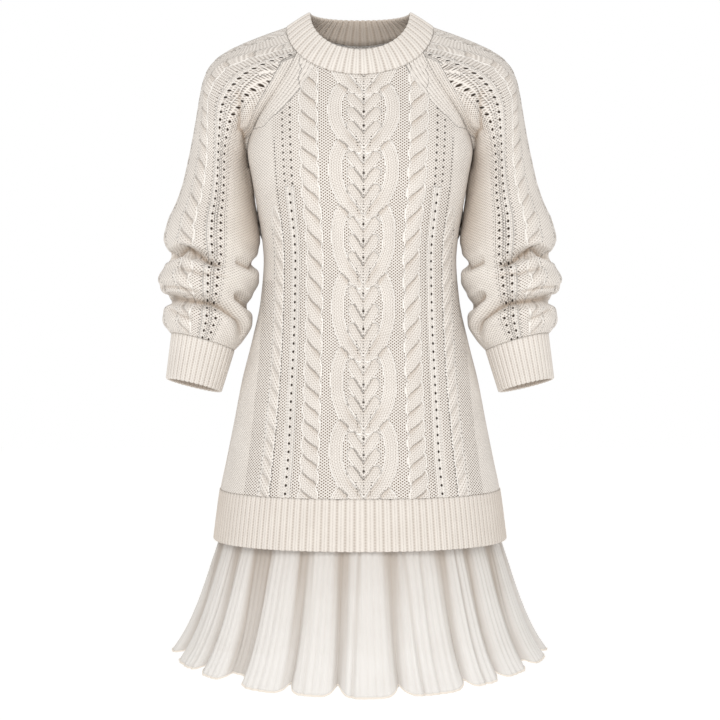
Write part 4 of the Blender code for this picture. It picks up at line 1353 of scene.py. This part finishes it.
def inner_ring(turns, down):
    """The plain inside of the sleeve, which sinks as far as the deepest of the creases near it."""
    level = np.full(len(turns), down)
    sink = 0.0
    for turned, lowered in ((0.0, 0.0), (0.04, 0.0), (-0.04, 0.0), (0.0, 0.16), (0.0, -0.16)):
        near = sleeve_point(turns + turned, np.clip(level + lowered, -1.0, LAST_LEVEL))
        sink = np.maximum(sink, crease_depth(near)[0])
    depth = KNIT + sink * crease_fade(down)
    return sleeve_point(turns, level) - sleeve_normal(turns, level) * depth[:, None]


def sleeve_wall(turns_count, rows_count):
    """The wall of one sleeve, for the wearer's left."""
    wall = Wall()
    turns = turns_round(turns_count)
    fine = np.linspace(-1.0, LAST_LEVEL, TRACK)
    length = np.array([arc_length(sleeve_point(np.full(TRACK, turn), fine)) for turn in turns])
    mean = length.mean(axis=0)
    downs = np.interp(np.linspace(0.0, mean[-1], rows_count), mean, fine)
    rows, inner = [], []
    for down in downs:
        to_cuff = np.array([np.interp(down, fine, track[-1] - track) for track in length])
        rows.append(add_knit(wall, *sleeve_row(turns, down, to_cuff)))
    wall.grid(rows[::-1], wrap=True)
    picked = turns[::2]
    for down in (*downs[::4], downs[-1]):
        stitch = np.stack([np.degrees(picked), np.full(len(picked), -500.0 * down)], axis=-1)
        inner.append(wall.add(inner_ring(picked, down), stitch=stitch))
    wall.grid(inner[::-1], wrap=True, flip=True)
    fine_keys, coarse_keys = np.append(turns, FULL_TURN), np.append(picked, FULL_TURN)
    for end in (0, -1):
        rims = [(fine_keys, np.append(rows[end], rows[end][0])),
                (coarse_keys, np.append(inner[end], inner[end][0]))]
        wall.zip_rows(*(rims if end == 0 else rims[::-1]))
    return wall


# %% Both sleeves
sleeve = sleeve_wall(200, 250)
for where in ("left", "right"):
    piece = sleeve.make(f"pushed_sleeve_{where}", IVORY_KNIT, mirror=where == "right",
                        period=360.0 * MM_PER_TURN)
    declare(piece, f"sleeve_{where}")

# %% [markdown]
# ## Ribbed collar, cuffs and band
#
# A rib is a column of plain stitches that stands up beside a column that sinks back.  The three
# ribbed pieces are tubes, so one function makes them: an outer face with rounded ribs, a rolled
# edge at each open end, and an inner face that shows the same ribs where it can be seen.

# %% Ribbed tubes
RIB_RELIEF = 0.0010
SCALLOP = 0.0009
# depth inside the lip in lips and in walls, share of the ribs' relief, painted shade, scallop
HIGH_LIP = ((0.0, 0.50, 0.5, 0.3, 1.0), (0.3, 0.85, 0.1, 0.9, 0.6))
LOW_LIP = ((0.3, 0.85, 0.1, 0.5, 0.6), (0.0, 0.50, 0.5, 0.1, 1.0))


def ribbed_piece(name, surface, ribs, cells, rows_count, wall, open_ends, mirror=False,
                 inner_ribs=0.35, sides=0.0):
    """A closed ribbed tube from its lower edge (level 0) to its upper one (level 1).

    Its open ends, -1 below and 1 above, have a rolled lip."""
    sheet = Wall()
    turns = turns_round(ribs * cells)
    place = turns * ribs / FULL_TURN
    rib = np.abs(np.cos(math.pi * place)) ** 0.7
    ends = [surface(turns, np.full(len(turns), level)) for level in (1.0, 0.0)]
    length = np.linalg.norm(ends[0] - ends[1], axis=1).mean()
    lip = 0.5 * wall / length

    def row(level, back, relief, dark=0.0, scallop=0.0):
        """One row: set back from the surface, with this much of the ribs' relief."""
        at = level + scallop * SCALLOP / length * (rib - 0.6)
        lift = RIB_RELIEF * relief * rib - back
        point = surface(turns, at) + outward(surface, turns, at) * lift[:, None]
        stitch = np.stack([place, np.full(len(turns), level * length * 1000.0)], axis=-1)
        # painted shade: the inside of the tube, the sides that turn from the light, and the grooves
        # between ribs
        dark = dark + sides * (0.25 + np.abs(np.cos(turns)) ** 8)
        return sheet.add(point, stitch=stitch, crease=np.clip(dark + (1.0 - rib) * 0.20, 0.0, 1.4))

    def rolled(end, degrees):
        """Outer half of a lip."""
        rows = []
        for angle in np.radians(degrees):
            cosine = math.cos(angle)
            level = max(end, 0.0) - end * lip * (1.0 - math.sin(angle))
            rows.append(row(level, 0.5 * wall * (1.0 - cosine), 0.5 + 0.5 * cosine,
                            scallop=end * (1.0 - cosine)))
        return rows

    def turned_in(end, lips):
        """Inner half of a lip."""
        return [row(max(end, 0.0) - end * lip * inside, back * wall, relief, dark, end * scallop)
                for inside, back, relief, dark, scallop in lips]

    bottom = lip if -1 in open_ends else 0.0
    top = 1.0 - (lip if 1 in open_ends else 0.0)
    rows = rolled(-1, (67.5, 45.0, 22.5)) if -1 in open_ends else []
    rows += [row(level, 0.0, 1.0) for level in np.linspace(0.0, 1.0, rows_count)
             if bottom - 0.001 * lip <= level <= top + 0.001 * lip]
    if 1 in open_ends:
        rows += rolled(1, (22.5, 45.0, 67.5)) + turned_in(1, HIGH_LIP)
    # the inside of the tube is in painted shade
    rows += [row(level, wall, -inner_ribs, 0.95)
             for level in np.linspace(top, bottom, max(4, rows_count // 3))]
    if -1 in open_ends:
        rows += turned_in(-1, LOW_LIP)
    sheet.grid(rows + rows[:1], wrap=True)
    return sheet.make(name, IVORY_RIB, mirror=mirror, period=ribs)


# %% [markdown]
# The collar is folded double, so it is thick and its top edge is a round roll with a scallop at
# each rib.  It leans in from the neck seam to the open top.

# %% Collar
COLLAR_RIBS = 54
COLLAR_TOP_WIDTH = 0.065
COLLAR_TOP_FRONT = 0.062
COLLAR_TOP_BACK = 0.055
COLLAR_TOP_RISE = 0.020
COLLAR_TOP_DROP = 0.057
COLLAR_SWELL = 0.0015


def half_rings(turn, height):
    """A closed ring of the body: turn 0 is the wearer's left, a quarter turn the back."""
    folded = np.arccos(np.clip(np.cos(turn), -1.0, 1.0))
    back, front = (body_point(folded, height, side) for side in (1, -1))
    return np.where((np.sin(turn) >= 0.0)[..., None], back, front)


def collar_surface(turn, level):
    """From the neck seam (level 0) to the open top (level 1)."""
    cosine, sine = np.cos(turn), np.sin(turn)
    low = half_rings(turn, np.zeros_like(turn))
    depth = np.where(sine >= 0.0, COLLAR_TOP_BACK, COLLAR_TOP_FRONT)
    drop = np.where(sine >= 0.0, 0.001 * sine, -COLLAR_TOP_DROP * sine)
    top = np.stack([COLLAR_TOP_WIDTH * cosine, depth * sine, COLLAR_TOP_RISE - drop], axis=-1)
    swell = COLLAR_SWELL * np.sin(math.pi * np.clip(level, 0.0, 1.0))
    beyond = np.stack([swell * cosine, swell * sine, np.full_like(swell, 2.0 * SEAM)], axis=-1)
    return between(level[..., None], low, top) + beyond


collar = ribbed_piece("ribbed_collar", collar_surface, COLLAR_RIBS, 12, 16, COLLAR_WALL, (1,),
                      inner_ribs=0.8)
declare(collar, "collar")

# %% [markdown]
# The cuffs are narrow ribbed tubes.  They open a little to the front, so the inside, dark with real
# and painted shade, shows as a crescent below the front edge.

# %% Cuffs
CUFF_RIBS = 36


def cuff_surface(turn, level):
    """The cuff tapers from the sleeve's last ring (level 1) to the wrist (level 0)."""
    sizes = [between(level, low, high) for low, high in zip(CUFF_END, SLEEVE[-1])]
    return turned_ring(*sizes, FOREARM_TILT, turn) - (0.0, 0.0, SEAM)


for where in ("left", "right"):
    piece = ribbed_piece(f"ribbed_cuff_{where}", cuff_surface, CUFF_RIBS, 10, 20, RIB_WALL, (-1,),
                         mirror=where == "right")
    declare(piece, f"cuff_{where}")

# %% [markdown]
# The band is a deep rib that carries the flounce.  Its lower edge is scalloped by the ribs.

# %% Hem band
BAND_RIBS = 128


def band_surface(turn, level):
    """The hem band, from its lower edge (level 0) to the body (level 1)."""
    return half_rings(turn, between(level, BAND_HEM, BODY_HEM)) - (0.0, 0.0, SEAM)


# the band's sides get painted shade, where they turn away from the light
band = ribbed_piece("ribbed_band", band_surface, BAND_RIBS, 8, 24, RIB_WALL, (-1,), sides=0.5)
declare(band, "hem_band")

# %% [markdown]
# ## Chiffon flounce
#
# The flounce is sheer chiffon pressed into fine pleats, so it hangs in soft bells.  It is one thin
# wall with a narrow rolled hem.  Light passes through it, which the material does with its alpha,
# and less where the pleats lie double.  Its hollows, creases, the folds of the pleats and the top
# under the band get painted shade.

# %% Chiffon
CHIFFON_LIGHT = (0.830, 0.805, 0.775, 1.0)
CHIFFON_SHADE = (0.480, 0.420, 0.365, 1.0)
HEM_CREAM = (0.790, 0.725, 0.645, 1.0)
PLEATS = 150


def chiffon_finish(name):
    """Sheer pleated cloth: one unit across is one pleat, along is in millimetres."""
    finish = Finish(name, Roughness=0.55, Specular_IOR_Level=0.3, Sheen_Weight=0.15,
                    Sheen_Roughness=0.4)
    across, _ = finish.stitch_map()
    hem, fold_shade = finish.attributes("moss", "crease")
    weave = finish.noise(900.0, 2.0)
    tone = finish.noise(22.0, 3.0)
    # the folds of the pleats: painted shade, and the cloth is less sheer where it lies double there
    line = (1.0 - across.off_middle() * 2.0 * 5.0).clamped()
    uneven = finish.noise(60.0, 1.0)
    # painted shade of hollows, creases and pleat folds, with random tone and weave
    shade = fold_shade * 0.80 + line * uneven * 0.42 + (tone - 0.5) * 0.20 + (weave - 0.5) * 0.06
    colour = finish.mix(shade.clamped(), CHIFFON_LIGHT, CHIFFON_SHADE)
    colour = finish.mix(hem, colour, HEM_CREAM)
    alpha = (fold_shade * 0.12 + line * 0.12 + 0.74 + hem * 0.5).clamped()
    finish.tree.links.new(alpha.socket, finish.shader.inputs["Alpha"])
    return finish.finish(colour, weave, 0.0001)


CHIFFON = chiffon_finish("pleated chiffon")
print("finish:", CHIFFON.name)

# %% Sizes of the flounce
# drop below the top edge as a share, half width, front and back depth
FLOUNCE = (
    (0.00, 0.1805, 0.1270),
    (0.07, 0.1830, 0.1290),
    (0.24, 0.1914, 0.1365),
    (0.41, 0.1998, 0.1445),
    (0.58, 0.2090, 0.1525),
    (0.75, 0.2200, 0.1615),
    (0.88, 0.2305, 0.1685),
    (1.00, 0.2430, 0.1755),
)
FLOUNCE_TOP = -0.6545
FLOUNCE_TOP_DIP = 0.0065
FLOUNCE_SIDE_HEM = -0.804
FLOUNCE_MID_HEM = -0.839
PLEAT_TOP = 0.0010
PLEAT_HEM = 0.0012
CHIFFON_WALL = 0.0006
HEM_ROLL = 0.0012
ROLL = HEM_ROLL / 0.16    # the roll as a share of the drop
HOLLOW = 0.0158
HEM_LIFT = 0.013
# middle of each bell of the hem in degrees (front is 270), half width, swell
BELLS = (
    (3.0, 9.5, 0.0120), (23.0, 8.5, 0.0110), (42.0, 8.0, 0.0130), (62.0, 9.5, 0.0120),
    (83.0, 9.0, 0.0135), (104.0, 10.0, 0.0120), (124.0, 8.0, 0.0130), (142.0, 8.5, 0.0110),
    (160.0, 8.0, 0.0120), (179.0, 9.5, 0.0125), (203.0, 9.5, 0.0120), (219.0, 6.5, 0.0120),
    (239.5, 9.0, 0.0135), (255.5, 7.5, 0.0125), (272.7, 9.5, 0.0135), (293.0, 11.5, 0.0135),
    (310.5, 7.0, 0.0120), (325.0, 8.0, 0.0110), (344.5, 9.0, 0.0115),
)
flounce_width, flounce_depth = (curve(FLOUNCE, column) for column in (1, 2))
print(len(BELLS), "bells and", PLEATS, "pleats")

# %% [markdown]
# Cloth simulation would give other bells on each change.  Three layers of waves are steadier: wide
# bells at the hem, soft creases that wander, and the pressed pleats on top of them.

# %% Surface of the flounce
def bell_swell(turn, drop):
    """How far the hem swings out: uneven bells, and hollows that narrow towards the hem."""
    degrees = np.degrees(np.mod(turn, FULL_TURN))
    swell = np.zeros_like(degrees)
    for middle, half, high in BELLS:
        away = np.abs((degrees - middle + 180.0) % 360.0 - 180.0) / (half * (0.80 + 0.16 * drop))
        full = 1.0 - np.clip(away, 0.0, 1.0) ** (2.6 + 2.6 * drop)
        swell = np.maximum(swell, 1.3 * high * full)
    return swell


def soft_creases(turn, drop):
    """Long creases of uneven strength that wander down the frill, from 0 to 1."""
    path = turn * 53.0 + 2.2 * np.sin(turn * 7.0 + 0.6) + 1.6 * drop * np.sin(turn * 11.0)
    strength = 0.5 + 0.5 * np.cos(turn * 17.0 + 1.9)
    return strength * np.clip(np.cos(path), 0.0, 1.0) ** 5


def flounce_surface(turn, level):
    """The frill from its hem (level 0) to its top inside the band (level 1)."""
    drop = np.clip(1.0 - level, 0.0, 2.0)
    sine = np.abs(np.sin(turn))
    swing = bell_swell(turn, drop)
    # the hem rises between the bells, where the cloth falls back
    hem = between(sine ** 1.2, FLOUNCE_SIDE_HEM, FLOUNCE_MID_HEM) - 0.004
    hem = hem + HEM_LIFT * (1.0 - swing / 0.0176) * (0.3 + 0.7 * sine)
    top = FLOUNCE_TOP - FLOUNCE_TOP_DIP * sine
    uneven = 0.65 + 0.35 * np.cos(turn * 23.0 + 1.0) * np.cos(turn * 37.0)
    pleat = between(drop, PLEAT_TOP, PLEAT_HEM) * uneven * np.cos(turn * PLEATS)
    out = (swing - HOLLOW) * (0.10 + 0.90 * drop ** 1.3) + pleat
    out = out - 0.0035 * soft_creases(turn, drop) * (0.3 + 0.7 * drop) * smooth(drop / 0.1)
    x = (flounce_width(drop) + out) * np.cos(turn)
    y = (flounce_depth(drop) + out) * np.sin(turn)
    return np.stack([x, y, between(1.0 - level, top, hem)], axis=-1)


# %% Flounce
# the rolled hem: level in rolls, how far outside and inside lie from the surface in rolls, cream
HEM_ROWS = (
    (0.0, -0.2, 0.7, 1.0),
    (0.6, -0.6, 1.1, 1.0),
    (1.5, -0.5, 1.0, 1.0),
    (2.1, 0.0, CHIFFON_WALL / HEM_ROLL, 0.0),
)


def make_flounce(name, cells, rows_count):
    """The pleated frill with its rolled hem."""
    sheet = Wall()
    turns = turns_round(PLEATS * cells)
    place = turns * PLEATS / FULL_TURN

    def row(level, back, hem=0.0):
        """One row, set back from the surface."""
        at = np.full(len(turns), float(level))
        point = flounce_surface(turns, at) - outward(flounce_surface, turns, at) * back
        hollow = np.clip(1.0 - bell_swell(turns, 1.0 - at) / 0.0143, 0.0, 1.0)
        # painted shade: the hollows between the bells, the top under the band and the soft creases
        fold_shade = hollow * (0.62 + 0.30 * level) + 0.24 * smooth((level - 0.30) / 0.70)
        fold_shade = fold_shade + soft_creases(turns, 1.0 - at) * (0.28 + 0.32 * level)
        stitch = np.stack([place, (1.0 - at) * 160.0], axis=-1)
        return sheet.add(point, stitch=stitch, moss=hem, crease=fold_shade)

    levels = np.linspace(ROLL * 3.0, 1.0, rows_count)
    rows = [row(ROLL * level, HEM_ROLL * out, hem) for level, out, _, hem in HEM_ROWS]
    rows += [row(level, 0.0) for level in levels]
    rows += [row(level, CHIFFON_WALL) for level in levels[::-1]]
    rows += [row(ROLL * level, HEM_ROLL * back, hem) for level, _, back, hem in HEM_ROWS[::-1]]
    sheet.grid(rows + rows[:1], wrap=True)
    return sheet.make(name, CHIFFON, period=PLEATS)


flounce = make_flounce("pleated_flounce", 4, 64)
declare(flounce, "flounce")

# %% [markdown]
# ## Floor, light and camera
#
# The dress hangs in the air as if worn, in a white studio.  A large soft light from the front
# flattens the shadows, a weaker one from the right gives the ribs a direction, and the white world
# lights the hollows.

# %% World
WHITE = (1.0, 1.0, 1.0, 1.0)
scene = bpy.context.scene
scene.view_settings.view_transform = "Standard"
world = bpy.data.worlds.new("white studio")
world.use_nodes = True
sky = world.node_tree.nodes
soft = sky["Background"]
white = sky.new("ShaderNodeBackground")
for background, colour, brightness in ((soft, (1.0, 0.985, 0.965, 1.0), 0.70), (white, WHITE, 1.0)):
    background.inputs["Color"].default_value = colour
    background.inputs["Strength"].default_value = brightness
seen = sky.new("ShaderNodeLightPath")
choice = sky.new("ShaderNodeMixShader")
for out, socket in ((seen.outputs["Is Camera Ray"], choice.inputs[0]),
                    (soft.outputs[0], choice.inputs[1]),
                    (white.outputs[0], choice.inputs[2]),
                    (choice.outputs[0], sky["World Output"].inputs["Surface"])):
    world.node_tree.links.new(out, socket)
scene.world = world

# %% Floor
bpy.ops.mesh.primitive_plane_add(size=40.0, location=(0.0, 0.0, -1.45))
floor = bpy.context.object
floor.name = "studio_floor"
floor_finish = Finish("pale floor", Roughness=0.9, Emission_Color=WHITE, Emission_Strength=0.35)
speckle = floor_finish.noise(3.0)
floor_colour = floor_finish.mix(speckle, (0.96, 0.96, 0.96, 1.0), (0.98, 0.98, 0.98, 1.0))
floor_finish.finish(floor_colour, speckle, 0.0005)
floor.data.materials.append(floor_finish.material)


# %% [markdown]
# The lights stand in front of the dress, above and beside it.  The camera is level with its middle
# and far away, as for a shop's picture, so that near and far parts keep their sizes.

# %% Lights
def area_light(name, place, size, power):
    """A square soft light that points at the middle of the dress."""
    data = bpy.data.lights.new(name, "AREA")
    data.size = size
    data.energy = power
    light = bpy.data.objects.new(name, data)
    light.location = place
    direction = Vector((0.0, 0.0, -0.4)) - Vector(place)
    light.rotation_euler = direction.to_track_quat("-Z", "Y").to_euler()
    scene.collection.objects.link(light)
    print(f"{name} light: {power} W")


area_light("key", (-0.8, -2.6, 1.0), 1.2, 28.0)
area_light("fill", (1.5, -2.2, 0.3), 1.6, 10.5)

# %% Camera
camera_data = bpy.data.cameras.new("camera")
camera_data.lens = 100.0
camera_data.sensor_width = 36.0
camera = bpy.data.objects.new("camera", camera_data)
camera.location = (0.0, -2.6, -0.4316)
camera.rotation_euler = (math.pi / 2, 0.0, 0.0)
scene.collection.objects.link(camera)
scene.camera = camera
print("camera:", tuple(round(c, 3) for c in camera.location), "lens", camera_data.lens)
